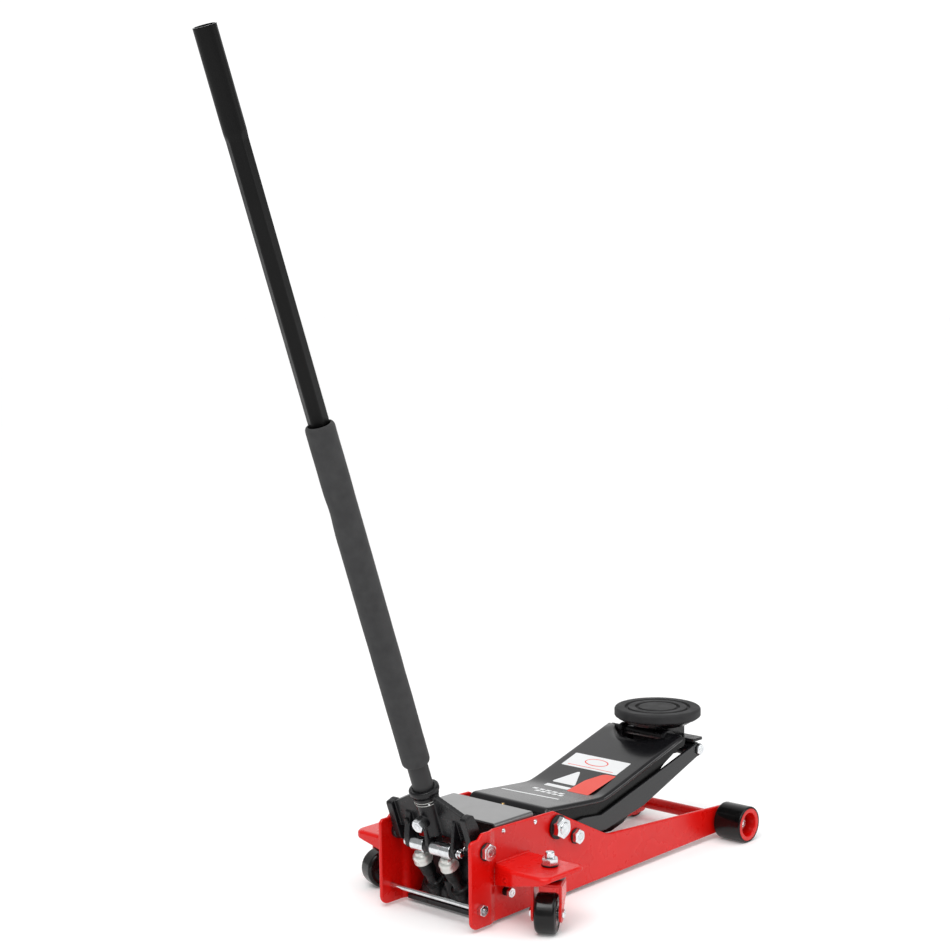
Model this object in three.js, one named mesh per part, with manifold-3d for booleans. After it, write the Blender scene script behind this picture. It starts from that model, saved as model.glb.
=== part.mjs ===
// Low-profile trolley jack with a two-piece handle.
// Millimetres. +X points from the handle to the saddle, +Y to the left, +Z up. The wheels stand on z = 0.
import * as THREE from 'three';
import { mergeVertices } from 'three/addons/utils/BufferGeometryUtils.js';
import Module from 'manifold-3d';

const wasm = await Module();
wasm.setup();

// ---------------------------------------------------------------- driving dimensions
const GAP = 0.3; // between pieces that touch
const ROUND = 24; // facets of large round pieces
const SMALL_ROUND = 14; // facets of bolts and pins

// Chassis
const CHASSIS_REAR = -3; // rear edge of the side plates
const FRONT_AXLE_X = 519;
const HALF_WIDTH = 73; // outside of the side plates
const FLARE = 4; // step outwards of their rear ends
const FLARE_START = 34;
const FLARE_END = 42;
const PLATE = 5; // thickness of the side plates
const PLATE_BOTTOM_REAR = 3.5;
const PLATE_BOTTOM_FRONT = 8;
const PLATE_TOP = 113;
const PLATE_STEP = 6.3; // rise of the top edge behind the cover
const PLATE_BEAM = 38; // height of the plates at the front axle
const FRONT_NOSE = 19; // plates in front of the axle
const BASE_TOP = 10.5;
const BASE_THICKNESS = 6.5;
const BASE_REAR = 38;
const BASE_FRONT = 150;

// Top cover
const COVER_REAR = 51.5;
const COVER_FRONT = 122;
const COVER_TOP = 122.2;
const COVER_SHEET = 2.5;
const COVER_SKIRT = 14;

// Rear tie rod
const TIE_X = 14;
const TIE_Z = 27;
const TIE_RADIUS = 3;
const TIE_NUT = 6.5; // half of its width across flats

// Front rollers
const ROLLER_RADIUS = 25;
const ROLLER_WIDTH = 42.5;
const ROLLER_SLEEVE = 2.4; // black sleeve on the red hub
const ROLLER_RECESS = 16; // radius of the hollow in its outer end
const ROLLER_RECESS_DEPTH = 24;
const AXLE_RADIUS = 6;
const AXLE_NUT_HEIGHT = 7;
const AXLE_TUBE_RADIUS = 8.5;

// Rear casters
const CASTER_X = 80; // stem
const CASTER_Y = 129;
const CASTER_RADIUS = 24.5;
const CASTER_WIDTH = 26;
const CASTER_TRAIL = 20;
const CASTER_YAW = { right: 30, left: -20 }; // degrees, where the forks point, seen from above
const FORK_SHEET = 3.5;
const FORK_HALF = 15; // inside the fork
const FORK_TOP = 61;
const FORK_ROUND = 9.5;
const RACE_RADIUS = 20;
const BRACKET_TOP = 76;
const BRACKET_SHEET = 4;
const BRACKET_REAR = 34;
const BRACKET_FRONT = 110;
const BRACKET_OUT = 160;
const WEB_DEPTH_INNER = 28;
const WEB_DEPTH_OUTER = 13;
const LIP_DEPTH = 5;
const STEM_RADIUS = 5;
const STEM_NUT = 8.7;

// Main pivot, links and lift arm
const ARM_PIVOT = [161, 95];
const LINK_OFFSET = [36, -20]; // from an arm pivot to the link pivot beside it
const ARM_REACH = [279, 56]; // from the main pivot to the saddle pivot
const ARM_HALF = 58.5; // over the flanges
const ARM_TOP_HALF = 65; // over the top sheet, which covers the links
const ARM_SHEET = 5;
const ARM_REAR_TOP = [152, 120];
const ARM_BEND = [267, 109.5];
const ARM_TIP = [437, 158];
const SHAFT_RADIUS = 10;
const SHAFT_NUT = 12;
const SHAFT_NUT_HEIGHT = 9;
const THRUST_OFFSET = [11, -47]; // from the main pivot to the thrust pin
const THRUST_RADIUS = 8;
const LINK_INSIDE = 59.5;
const LINK_SHEET = 4;
const LINK_PIN = 6;
const LINK_BOLT = 5;

// Saddle
const SADDLE_X = 467;
const SADDLE_TOP = 183.5;
const PAD_RADIUS = 59.5;
const PAD_HEIGHT = 13;
const CUP_RADIUS = 38;
const CUP_HEIGHT = 10.5;
const STEM_HALF = 12; // radius of the cup's stem
const SADDLE_PIN = 5.5;
const SADDLE_BLOCK_HALF = 30;
const SADDLE_EAR_OUT = 40;
const SADDLE_EAR = 6;
const NOTCH_RADIUS = 60.5;

// Pump
const SOCKET_PIVOT = [24, 96];
const HANDLE_LEAN = 19.4; // degrees from upright
const PIN_OFFSET = [-12, -5.8]; // from the socket pivot to the roller pin
const PUMP_OFFSET = [-15, -7]; // from the socket pivot to the pumps' axes
const PUMP_TILT = 30; // degrees from upright
const PUMP_ROLLER = 9.5;
const ROLLER_PIN = 4.5;
const PUMP_LEFT_Y = 23.5;
const PUMP_RIGHT_Y = -20;
const CAP_RADIUS = 12.5;
const SLEEVE_RADIUS = 9.5;
const BARREL_RADIUS = 7.8;
const PLUNGER_RADIUS = 4;
const BLOCK_REAR = 50;
const BLOCK_FRONT = 112;
const BLOCK_HALF = 50;
const BLOCK_TOP = 76;
const RAM_Z = 47;
const CYLINDER_RADIUS = 27;
const CYLINDER_FRONT = 136;
const RAM_RADIUS = 11;
const RAM_TAIL = 97;
const RAM_BORE_END = 80;
const THRUST_PLAY = 2.7; // thrust pad behind the thrust pin
const SPINDLE_RADIUS = 5;

// Handle, measured along its own axis from the socket pivot
const TUBE_RADIUS = 12.7;
const TUBE_WALL = 1.8;
const COLLAR_TOP = 76;
const SOCKET_FLOOR = 14;
const HANDLE_JOINT = 442;
const HEX_END = 873;
const HANDLE_TOP = 983.5;
const SPIGOT = 55;
const FOAM_START = 109;
const FOAM_END = 546;
const FOAM_RADIUS = 17.5;
const CLAMP_HEIGHT = 35;
const CLAMP_RADIUS = 4;
const TONGUE_RADIUS = 4.4; // upper half of the joint that turns the release spindle
const TONGUE_START = -12;
const SPINDLE_TOP = -28; // below the circle the pump rollers swing through
const BARREL_OUT = TUBE_RADIUS + 2.1; // outside of the handle socket's barrel
const CLAMP_SEAT = BARREL_OUT + 3.7; // face of the clamp bolt's boss
const EAR_OUT = 66;
const EAR_IN = 56;

// Positions that follow from them
const LINK_PIVOT = [ARM_PIVOT[0] + LINK_OFFSET[0], ARM_PIVOT[1] + LINK_OFFSET[1]];
const SADDLE_PIVOT = [ARM_PIVOT[0] + ARM_REACH[0], ARM_PIVOT[1] + ARM_REACH[1]];
const LINK_FRONT = [SADDLE_PIVOT[0] + LINK_OFFSET[0], SADDLE_PIVOT[1] + LINK_OFFSET[1]];
const THRUST_PIN = [ARM_PIVOT[0] + THRUST_OFFSET[0], ARM_PIVOT[1] + THRUST_OFFSET[1]];
const ROLLER_PIN_AT = [SOCKET_PIVOT[0] + PIN_OFFSET[0], SOCKET_PIVOT[1] + PIN_OFFSET[1]];
const PUMP_AT = [SOCKET_PIVOT[0] + PUMP_OFFSET[0], SOCKET_PIVOT[1] + PUMP_OFFSET[1]];
const REAR_HALF = HALF_WIDTH + FLARE;
const INNER_HALF = HALF_WIDTH - PLATE;
const FRONT_INNER = HALF_WIDTH + 3; // inner end of the front rollers
const FRONT_OUTER = FRONT_INNER + ROLLER_WIDTH;

// ---------------------------------------------------------------- finishes
const finish = (color, roughness, metalness) =>
  new THREE.MeshStandardMaterial({ color, roughness, metalness });
const RED = finish(0xc4130d, 0.32, 0.1);
const BLACK = finish(0x101011, 0.28, 0.2);
const CAST = finish(0x161617, 0.45, 0.3);
const ZINC = finish(0xc9ccd0, 0.3, 0.9);
const BRASS = finish(0xb08a3c, 0.35, 0.9);
const RUBBER = finish(0x2c2c2d, 0.85, 0);
const FOAM = finish(0x3a3a3b, 0.95, 0);
const NYLON = finish(0x0d0d0e, 0.35, 0);

// ---------------------------------------------------------------- solids
function solid(geometry) {
  geometry.deleteAttribute('normal');
  geometry.deleteAttribute('uv');
  const merged = mergeVertices(geometry, 1e-4);
  const mesh = new wasm.Mesh({
    numProp: 3,
    vertProperties: new Float32Array(merged.attributes.position.array),
    triVerts: new Uint32Array(merged.index.array),
  });
  return new wasm.Manifold(mesh);
}

const join = (first, ...others) => others.reduce((sum, next) => sum.add(next), first);
const cut = (first, ...others) => others.reduce((rest, next) => rest.subtract(next), first);

// A box between two corners.
function block(x0, x1, y0, y1, z0, z1) {
  const box = new THREE.BoxGeometry(Math.abs(x1 - x0), Math.abs(y1 - y0), Math.abs(z1 - z0));
  return solid(box.translate((x0 + x1) / 2, (y0 + y1) / 2, (z0 + z1) / 2));
}

// An outline whose corners [x, y, radius] are rounded.
function outline(corners) {
  const shape = new THREE.Shape();
  corners.forEach(([x, y, radius = 0], i) => {
    const here = new THREE.Vector2(x, y);
    const before = corners.at(i - 1);
    const after = corners[(i + 1) % corners.length];
    const toBefore = new THREE.Vector2(before[0] - x, before[1] - y).normalize();
    const toAfter = new THREE.Vector2(after[0] - x, after[1] - y).normalize();
    const half = Math.acos(THREE.MathUtils.clamp(toBefore.dot(toAfter), -1, 1)) / 2;
    const reach = radius / Math.tan(half);
    const start = here.clone().addScaledVector(toBefore, reach);
    const end = here.clone().addScaledVector(toAfter, reach);
    if (i === 0) shape.moveTo(start.x, start.y);
    else shape.lineTo(start.x, start.y);
    if (radius > 0) shape.quadraticCurveTo(x, y, end.x, end.y);
  });
  shape.closePath();
  return shape;
}

const extrusion = (shape, depth, curveSegments = 3) =>
  new THREE.ExtrudeGeometry(shape, { depth, bevelEnabled: false, curveSegments });

// A sheet standing along X, with its outline given as (x, z), between two y values.
function upright(corners, y0, y1) {
  const geometry = extrusion(outline(corners), Math.abs(y1 - y0));
  return solid(geometry.rotateX(Math.PI / 2).translate(0, Math.max(y0, y1), 0));
}

// A sheet lying flat, with its outline given as (x, y), between two z values.
function flat(corners, z0, z1) {
  return solid(extrusion(outline(corners), z1 - z0).translate(0, 0, z0));
}

// A sheet across the jack, with its outline given as (y, z), between two x values.
function across(corners, x0, x1) {
  const geometry = extrusion(outline(corners), x1 - x0);
  return solid(geometry.rotateX(Math.PI / 2).rotateZ(Math.PI / 2).translate(x0, 0, 0));
}

// Bores and the pins in them get the same facets.
const facetsFor = (radius) => (radius < 10 ? SMALL_ROUND : ROUND);

// A rod along Y through (x, z).
function rodY([x, z], radius, y0, y1, facets = facetsFor(radius)) {
  const rod = new THREE.CylinderGeometry(radius, radius, Math.abs(y1 - y0), facets);
  return solid(rod.translate(x, (y0 + y1) / 2, z));
}

// A rod along X through (y, z).
function rodX([y, z], radius, x0, x1, facets = ROUND) {
  const rod = new THREE.CylinderGeometry(radius, radius, x1 - x0, facets);
  return solid(rod.rotateZ(Math.PI / 2).translate((x0 + x1) / 2, y, z));
}

// A rod along Z through (x, y).
function rodZ([x, y], radius, z0, z1, facets = ROUND) {
  const rod = new THREE.CylinderGeometry(radius, radius, z1 - z0, facets);
  return solid(rod.rotateX(Math.PI / 2).translate(x, y, (z0 + z1) / 2));
}

// A body turned about the Z axis from an outline of [radius, z] points that starts and ends on the axis.
function turned(profile, facets = ROUND) {
  const points = profile.map(([radius, z]) => new THREE.Vector2(radius, z));
  return new THREE.LatheGeometry(points, facets).rotateX(Math.PI / 2);
}

// A bolt head or nut along Y, half the width across flats being given.
const hexY = (at, halfFlats, y0, y1) => rodY(at, halfFlats / Math.cos(Math.PI / 6), y0, y1, 6);
const hexZ = (at, halfFlats, z0, z1) => rodZ(at, halfFlats / Math.cos(Math.PI / 6), z0, z1, 6);

// ---------------------------------------------------------------- assembly
const jack = new THREE.Group();

function add(name, body, material, parent = jack) {
  const mesh = body.getMesh();
  const geometry = new THREE.BufferGeometry();
  geometry.setAttribute('position', new THREE.BufferAttribute(mesh.vertProperties, 3));
  geometry.setIndex(new THREE.BufferAttribute(mesh.triVerts, 1));
  geometry.computeVertexNormals();
  const piece = new THREE.Mesh(geometry, material);
  piece.name = name;
  parent.add(piece);
}

// Both sides of the jack: the name's ending and the direction outwards.
const SIDES = [['right', -1], ['left', 1]];

// ---------------------------------------------------------------- chassis
function sidePlate(side) {
  const nose = FRONT_AXLE_X + FRONT_NOSE;
  const beamTop = PLATE_BOTTOM_FRONT + PLATE_BEAM - 3;
  const step = PLATE_TOP + PLATE_STEP;
  const face = upright([
    [CHASSIS_REAR, PLATE_BOTTOM_REAR, 12],
    [CHASSIS_REAR, PLATE_TOP, 7],
    [CHASSIS_REAR + 15, PLATE_TOP, 4],
    [CHASSIS_REAR + 22, step, 4],
    [ARM_PIVOT[0] - 5, step - 3.6, 6],
    [ARM_PIVOT[0] + 102, PLATE_TOP - 51, 40],
    [nose, beamTop, 16],
    [nose, PLATE_BOTTOM_FRONT, 15],
  ], side * (INNER_HALF - 1), side * (REAR_HALF + 1));
  const plan = flat([
    [CHASSIS_REAR - 1, side * REAR_HALF],
    [FLARE_START, side * REAR_HALF],
    [FLARE_END, side * HALF_WIDTH],
    [nose + 1, side * HALF_WIDTH],
    [nose + 1, side * INNER_HALF],
    [FLARE_END - 1, side * INNER_HALF],
    [FLARE_START - 1, side * (REAR_HALF - PLATE)],
    [CHASSIS_REAR - 1, side * (REAR_HALF - PLATE)],
  ], 0, step + 1);
  const hole = (at, radius) => rodY(at, radius + GAP, side * (INNER_HALF - 2), side * (REAR_HALF + 2));
  return cut(
    face.intersect(plan),
    hole(ARM_PIVOT, SHAFT_RADIUS),
    hole(LINK_PIVOT, LINK_PIN),
    hole(SOCKET_PIVOT, LINK_PIN),
    hole([TIE_X, TIE_Z], TIE_RADIUS),
    hole([FRONT_AXLE_X, ROLLER_RADIUS], AXLE_RADIUS),
  );
}

function basePlate() {
  const half = INNER_HALF - GAP;
  const floor = block(BASE_REAR, BASE_FRONT, -half, half, BASE_TOP - BASE_THICKNESS, BASE_TOP);
  const lip = block(BASE_FRONT - 5, BASE_FRONT, -half, half, BASE_TOP - 1, BASE_TOP + 6);
  return join(floor, lip);
}

function topCover() {
  const half = INNER_HALF - GAP;
  const sheet = block(COVER_REAR, COVER_FRONT, -half, half, COVER_TOP - COVER_SHEET, COVER_TOP);
  const skirts = SIDES.map(([, side]) => block(
    COVER_REAR, COVER_FRONT, side * half, side * (half - COVER_SHEET), COVER_TOP - COVER_SKIRT, COVER_TOP - 1));
  return join(sheet, ...skirts);
}

function tieRodNut(side) {
  const seat = REAR_HALF + GAP;
  const at = [TIE_X, TIE_Z];
  const nut = hexY(at, TIE_NUT, side * seat, side * (seat + 6));
  return cut(nut, rodY(at, TIE_RADIUS + GAP, side * (seat - 1), side * (seat + 7)));
}

function shaftNut(side) {
  const seat = HALF_WIDTH + GAP;
  const washer = rodY(ARM_PIVOT, SHAFT_NUT + 3.5, side * seat, side * (seat + 3));
  const nut = hexY(ARM_PIVOT, SHAFT_NUT, side * (seat + 2), side * (seat + 3 + SHAFT_NUT_HEIGHT));
  const thread = rodY(ARM_PIVOT, SHAFT_RADIUS - 2 + GAP, side * (seat - 1), side * (seat + 14));
  return cut(join(washer, nut), thread);
}

function mainShaft() {
  const ends = HALF_WIDTH + SHAFT_NUT_HEIGHT + 5;
  const body = rodY(ARM_PIVOT, SHAFT_RADIUS, -HALF_WIDTH, HALF_WIDTH, ROUND);
  return join(body, rodY(ARM_PIVOT, SHAFT_RADIUS - 2, -ends, ends));
}

// A shouldered bolt through one side plate: its pin reaches in to the link or the socket ear.
function plateBolt(at, side, plateOutside, inside, headHalf) {
  const head = hexY(at, headHalf, side * (plateOutside + 2), side * (plateOutside + 8.5));
  const washer = rodY(at, headHalf + 1.5, side * (plateOutside + GAP), side * (plateOutside + 2.5));
  return join(rodY(at, LINK_PIN, side * inside, side * (plateOutside + 1)), washer, head);
}

// ---------------------------------------------------------------- front rollers
function frontHub(side) {
  const core = rodY([0, 0], ROLLER_RADIUS - ROLLER_SLEEVE - GAP, FRONT_INNER, FRONT_OUTER, ROUND);
  const recess = rodY([0, 0], ROLLER_RECESS, FRONT_OUTER - ROLLER_RECESS_DEPTH, FRONT_OUTER + 1, ROUND);
  const boss = rodY([0, 0], AXLE_RADIUS + 4, FRONT_INNER, FRONT_OUTER - ROLLER_RECESS_DEPTH + 5);
  const bore = rodY([0, 0], AXLE_RADIUS + GAP, FRONT_INNER - 1, FRONT_OUTER + 1);
  return placedAtAxle(cut(join(cut(core, recess), boss), bore), side);
}

function frontSleeve(side) {
  const inner = ROLLER_RADIUS - ROLLER_SLEEVE;
  const sleeve = rodY([0, 0], ROLLER_RADIUS, FRONT_INNER, FRONT_OUTER, ROUND + 8);
  const bore = rodY([0, 0], inner, FRONT_INNER - 1, FRONT_OUTER + 1, ROUND);
  return placedAtAxle(cut(sleeve, bore), side);
}

// Moves a piece made on the left of the origin's Y axis to the axle, on either side.
function placedAtAxle(body, side) {
  const mesh = body.getMesh();
  const geometry = new THREE.BufferGeometry();
  geometry.setAttribute('position', new THREE.BufferAttribute(new Float32Array(mesh.vertProperties), 3));
  geometry.setIndex(new THREE.BufferAttribute(mesh.triVerts, 1));
  if (side < 0) geometry.rotateZ(Math.PI);
  return solid(geometry.translate(FRONT_AXLE_X, 0, ROLLER_RADIUS));
}

function axleNut(side) {
  const seat = FRONT_OUTER - ROLLER_RECESS_DEPTH + 5 + GAP;
  const at = [FRONT_AXLE_X, ROLLER_RADIUS];
  const nut = hexY(at, AXLE_RADIUS + 2.5, side * seat, side * (seat + AXLE_NUT_HEIGHT));
  return cut(nut, rodY(at, AXLE_RADIUS - 1 + GAP, side * (seat - 1), side * (seat + AXLE_NUT_HEIGHT + 1)));
}

function frontAxle() {
  const at = [FRONT_AXLE_X, ROLLER_RADIUS];
  const seat = FRONT_OUTER - ROLLER_RECESS_DEPTH + 5;
  const shaft = rodY(at, AXLE_RADIUS, -seat, seat);
  return join(shaft, rodY(at, AXLE_RADIUS - 1, -seat - AXLE_NUT_HEIGHT - 2, seat + AXLE_NUT_HEIGHT + 2));
}

function axleTube() {
  const at = [FRONT_AXLE_X, ROLLER_RADIUS];
  const half = INNER_HALF - GAP;
  return cut(rodY(at, AXLE_TUBE_RADIUS, -half, half, ROUND), rodY(at, AXLE_RADIUS + GAP, -half - 1, half + 1));
}

// ---------------------------------------------------------------- casters
function casterBracket(side) {
  const inside = HALF_WIDTH + GAP;
  const under = BRACKET_TOP - BRACKET_SHEET;
  const top = flat([
    [FLARE_END + 1, side * inside],
    [BRACKET_REAR, side * (inside + 34), 20],
    [BRACKET_REAR + 2, side * BRACKET_OUT, 9],
    [BRACKET_FRONT, side * BRACKET_OUT, 6],
    [BRACKET_FRONT, side * inside],
  ], under, BRACKET_TOP);
  const lip = block(BRACKET_REAR + 8, BRACKET_FRONT - 6, side * (BRACKET_OUT - BRACKET_SHEET),
    side * BRACKET_OUT, BRACKET_TOP - LIP_DEPTH, BRACKET_TOP - 1);
  const web = across([
    [side * (REAR_HALF + GAP), BRACKET_TOP - 1],
    [side * (REAR_HALF + GAP), BRACKET_TOP - WEB_DEPTH_INNER, 2],
    [side * (BRACKET_OUT - 5), BRACKET_TOP - WEB_DEPTH_OUTER, 3],
    [side * (BRACKET_OUT - 5), BRACKET_TOP - 1],
  ], BRACKET_REAR + 2, BRACKET_REAR + 2 + BRACKET_SHEET);
  const hole = rodZ([CASTER_X, side * CASTER_Y], STEM_RADIUS + GAP, under - 1, BRACKET_TOP + 1);
  return cut(join(top, lip, web), hole);
}

// The stem bolt: head under the fork's top, shank through the race and bracket, washer and nut above.
function casterStem(side) {
  const at = [CASTER_X, side * CASTER_Y];
  const seat = BRACKET_TOP + GAP;
  const head = rodZ(at, STEM_RADIUS + 3, FORK_TOP - FORK_SHEET - 3.5, FORK_TOP - FORK_SHEET - GAP, SMALL_ROUND);
  const shank = rodZ(at, STEM_RADIUS, FORK_TOP - FORK_SHEET - 1, seat + 20, SMALL_ROUND);
  const washer = rodZ(at, STEM_NUT, seat, seat + 2, SMALL_ROUND);
  return join(head, shank, washer, hexZ(at, STEM_NUT, seat + 1.5, seat + 13.5));
}

function casterRace(side) {
  const at = [CASTER_X, side * CASTER_Y];
  const under = BRACKET_TOP - BRACKET_SHEET - GAP;
  const ring = rodZ(at, RACE_RADIUS, FORK_TOP + GAP, under);
  return cut(ring, rodZ(at, STEM_RADIUS + GAP, FORK_TOP, under + 1, SMALL_ROUND));
}

// Fork, wheel and axle are made pointing straight back from the stem, then turned by the yaw.
const TRAILED = [-CASTER_TRAIL, CASTER_RADIUS];

function casterFork() {
  const outside = FORK_HALF + FORK_SHEET;
  const crown = flat([
    [15, -outside, 8],
    [15, outside, 8],
    [-CASTER_TRAIL - 4, outside],
    [-CASTER_TRAIL - 4, -outside],
  ], FORK_TOP - FORK_SHEET, FORK_TOP);
  const legs = SIDES.map(([, side]) => upright([
    [7, FORK_TOP, 0],
    [-CASTER_TRAIL - 4, FORK_TOP, 0],
    [-CASTER_TRAIL - FORK_ROUND, CASTER_RADIUS + 4, 6],
    [-CASTER_TRAIL - FORK_ROUND + 1, CASTER_RADIUS - FORK_ROUND - 1, 8],
    [-CASTER_TRAIL + FORK_ROUND, CASTER_RADIUS - FORK_ROUND - 1, 8],
    [-CASTER_TRAIL + FORK_ROUND, CASTER_RADIUS + 2, 6],
  ], side * FORK_HALF, side * outside));
  const stemHole = rodZ([0, 0], STEM_RADIUS + GAP, FORK_TOP - FORK_SHEET - 1, FORK_TOP + 1, SMALL_ROUND);
  const axleHole = rodY(TRAILED, 4 + GAP, -outside - 1, outside + 1);
  return cut(join(crown, ...legs), stemHole, axleHole);
}

function casterWheel() {
  const half = CASTER_WIDTH / 2;
  const profile = [
    [0, -half],
    [CASTER_RADIUS - 4, -half],
    [CASTER_RADIUS - 1.2, -half + 1.4],
    [CASTER_RADIUS, -half + 4.5],
    [CASTER_RADIUS, half - 4.5],
    [CASTER_RADIUS - 1.2, half - 1.4],
    [CASTER_RADIUS - 4, half],
    [0, half],
  ];
  const wheel = turned(profile, ROUND + 8).rotateX(Math.PI / 2).translate(TRAILED[0], 0, TRAILED[1]);
  return cut(solid(wheel), rodY(TRAILED, 4 + GAP, -half - 1, half + 1));
}

function casterAxle() {
  const outside = FORK_HALF + FORK_SHEET;
  const shank = rodY(TRAILED, 4, -outside - 1, outside + 1);
  const ends = SIDES.map(([, side]) => rodY(TRAILED, 6.2, side * (outside + GAP), side * (outside + 3)));
  return join(shank, ...ends);
}

function addCaster(name, side) {
  const swivel = new THREE.Group();
  swivel.position.set(CASTER_X, side * CASTER_Y, 0);
  swivel.rotation.z = THREE.MathUtils.degToRad(CASTER_YAW[name]);
  jack.add(swivel);
  add(`caster_fork_${name}`, casterFork(), RED, swivel);
  add(`caster_wheel_${name}`, casterWheel(), NYLON, swivel);
  add(`caster_axle_${name}`, casterAxle(), ZINC, swivel);
}

// ---------------------------------------------------------------- lift arm and links
function armTopSheet() {
  const rise = Math.atan2(ARM_TIP[1] - ARM_BEND[1], ARM_TIP[0] - ARM_BEND[0]);
  const under = ([x, z], dx = 0) => [x + dx, z - ARM_SHEET / Math.cos(rise)];
  const sheet = upright([
    [ARM_REAR_TOP[0] - 6, ARM_REAR_TOP[1] - 9, 0],
    [ARM_REAR_TOP[0] - 4, ARM_REAR_TOP[1] - 1, 3],
    [ARM_BEND[0], ARM_BEND[1], 12],
    [ARM_TIP[0], ARM_TIP[1], 0],
    under(ARM_TIP),
    [...under(ARM_BEND), 12],
    [...under(ARM_REAR_TOP, 1), 2],
    [ARM_REAR_TOP[0], ARM_REAR_TOP[1] - 9, 0],
  ], -ARM_TOP_HALF, ARM_TOP_HALF);
  const notch = rodZ([SADDLE_PIVOT[0] + 29, 0], NOTCH_RADIUS, ARM_BEND[1], SADDLE_TOP, ROUND + 8);
  return cut(sheet, notch);
}

function armFlange(side) {
  const [px, pz] = SADDLE_PIVOT;
  const [tx, tz] = THRUST_PIN;
  return upright([
    [ARM_REAR_TOP[0] - 5, ARM_REAR_TOP[1] - 2, 3],
    [ARM_BEND[0], ARM_BEND[1], 12],
    [ARM_TIP[0], ARM_TIP[1], 4],
    [px + 12, pz + 4, 6],
    [px + 10, pz - 12, 6],
    [px - 6, pz - 13, 6],
    [ARM_BEND[0] + 137, ARM_BEND[1] + 17, 20],
    [ARM_BEND[0] + 48, ARM_BEND[1] - 44, 16],
    [ARM_BEND[0] + 22, ARM_BEND[1] - 50, 10],
    [tx + 42, tz + 14, 20],
    [tx + 10, tz - 14, 10],
    [tx - 14, tz - 13, 10],
    [ARM_PIVOT[0] - 16, ARM_PIVOT[1] - 18, 16],
    [ARM_PIVOT[0] - 19, ARM_PIVOT[1] + 8, 10],
  ], side * ARM_HALF, side * (ARM_HALF - ARM_SHEET));
}

function liftArm() {
  const through = (at, radius) => rodY(at, radius + GAP, -ARM_HALF - 1, ARM_HALF + 1);
  return cut(
    join(armTopSheet(), ...SIDES.map(([, side]) => armFlange(side))),
    through(ARM_PIVOT, SHAFT_RADIUS),
    through(THRUST_PIN, THRUST_RADIUS),
    through(SADDLE_PIVOT, SADDLE_PIN),
  );
}

function liftLink(side) {
  const [gx, gz] = LINK_PIVOT;
  const [kx, kz] = LINK_FRONT;
  const body = upright([
    [gx - 12, gz + 12, 10],
    [gx + 30, gz + 15, 10],
    [gx + 66, gz + 11, 10],
    [kx - 4, kz + 9, 7],
    [kx + 9, kz + 6, 6],
    [kx + 9, kz - 8, 6],
    [kx - 4, kz - 10, 5],
    [gx + 156, gz + 4, 20],
    [gx + 76, gz - 11, 16],
    [gx + 10, gz - 13, 10],
    [gx - 13, gz - 10, 10],
  ], side * LINK_INSIDE, side * (LINK_INSIDE + LINK_SHEET));
  const through = (at, radius) => rodY(at, radius + GAP, side * (LINK_INSIDE - 1), side * (LINK_INSIDE + 5));
  return cut(body, through(LINK_PIVOT, LINK_PIN), through(LINK_FRONT, LINK_BOLT));
}

function linkFrontBolt(side) {
  const headSeat = LINK_INSIDE + LINK_SHEET + GAP;
  const head = hexY(LINK_FRONT, LINK_BOLT + 2.5, side * headSeat, side * (headSeat + 3.4));
  return join(rodY(LINK_FRONT, LINK_BOLT, side * SADDLE_EAR_OUT, side * (headSeat + 1)), head);
}

// ---------------------------------------------------------------- saddle
function saddleBracket() {
  const [hx, hz] = SADDLE_PIVOT;
  const [kx, kz] = LINK_FRONT;
  const blockTop = SADDLE_TOP - PAD_HEIGHT - CUP_HEIGHT - GAP;
  const half = SADDLE_BLOCK_HALF;
  const wingHalf = LINK_INSIDE + LINK_SHEET - 1.5;
  const wingUnder = kz + 11.2;
  const head = block(hx + 9.5, SADDLE_X + 24, -half, half, kz - 8, blockTop);
  const wing = block(kx - 10, kx + 12, -wingHalf, wingHalf, wingUnder, wingUnder + 4);
  const floor = block(hx + 14, kx + 8, -SADDLE_EAR_OUT + 1, SADDLE_EAR_OUT - 1, kz - 6, kz + 2);
  const ears = SIDES.map(([, side]) => upright([
    [hx - 11, hz - 8, 9],
    [hx - 11, hz + 9.5, 9],
    [hx + 3, hz + 9.5, 5],
    [kx - 10, wingUnder + 2, 0],
    [kx + 10, wingUnder + 2, 0],
    [kx + 10, kz - 9, 8],
    [kx - 8, kz - 9, 8],
  ], side * SADDLE_EAR_OUT, side * (SADDLE_EAR_OUT - SADDLE_EAR)));
  const crossTube = rodY(LINK_FRONT, LINK_BOLT + 4, -LINK_INSIDE + GAP, LINK_INSIDE - GAP);
  const body = join(head, wing, floor, crossTube, ...ears);
  return cut(
    body,
    rodY(LINK_FRONT, LINK_BOLT + GAP, -LINK_INSIDE - 1, -SADDLE_EAR_OUT + GAP),
    rodY(LINK_FRONT, LINK_BOLT + GAP, SADDLE_EAR_OUT - GAP, LINK_INSIDE + 1),
    rodY(SADDLE_PIVOT, SADDLE_PIN + GAP, -SADDLE_EAR_OUT - 1, SADDLE_EAR_OUT + 1),
    rodZ([SADDLE_X, 0], STEM_HALF + GAP, blockTop - 22, blockTop + 1),
  );
}

function saddleCup() {
  const top = SADDLE_TOP - PAD_HEIGHT;
  const under = top - CUP_HEIGHT;
  const profile = [
    [0, under - 21],
    [STEM_HALF, under - 21],
    [STEM_HALF, under],
    [CUP_RADIUS, under],
    [PAD_RADIUS - 3.5, top - 1],
    [PAD_RADIUS - 3.5, top - GAP],
    [0, top - GAP],
  ];
  return solid(turned(profile, ROUND + 8).translate(SADDLE_X, 0, 0));
}

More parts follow.
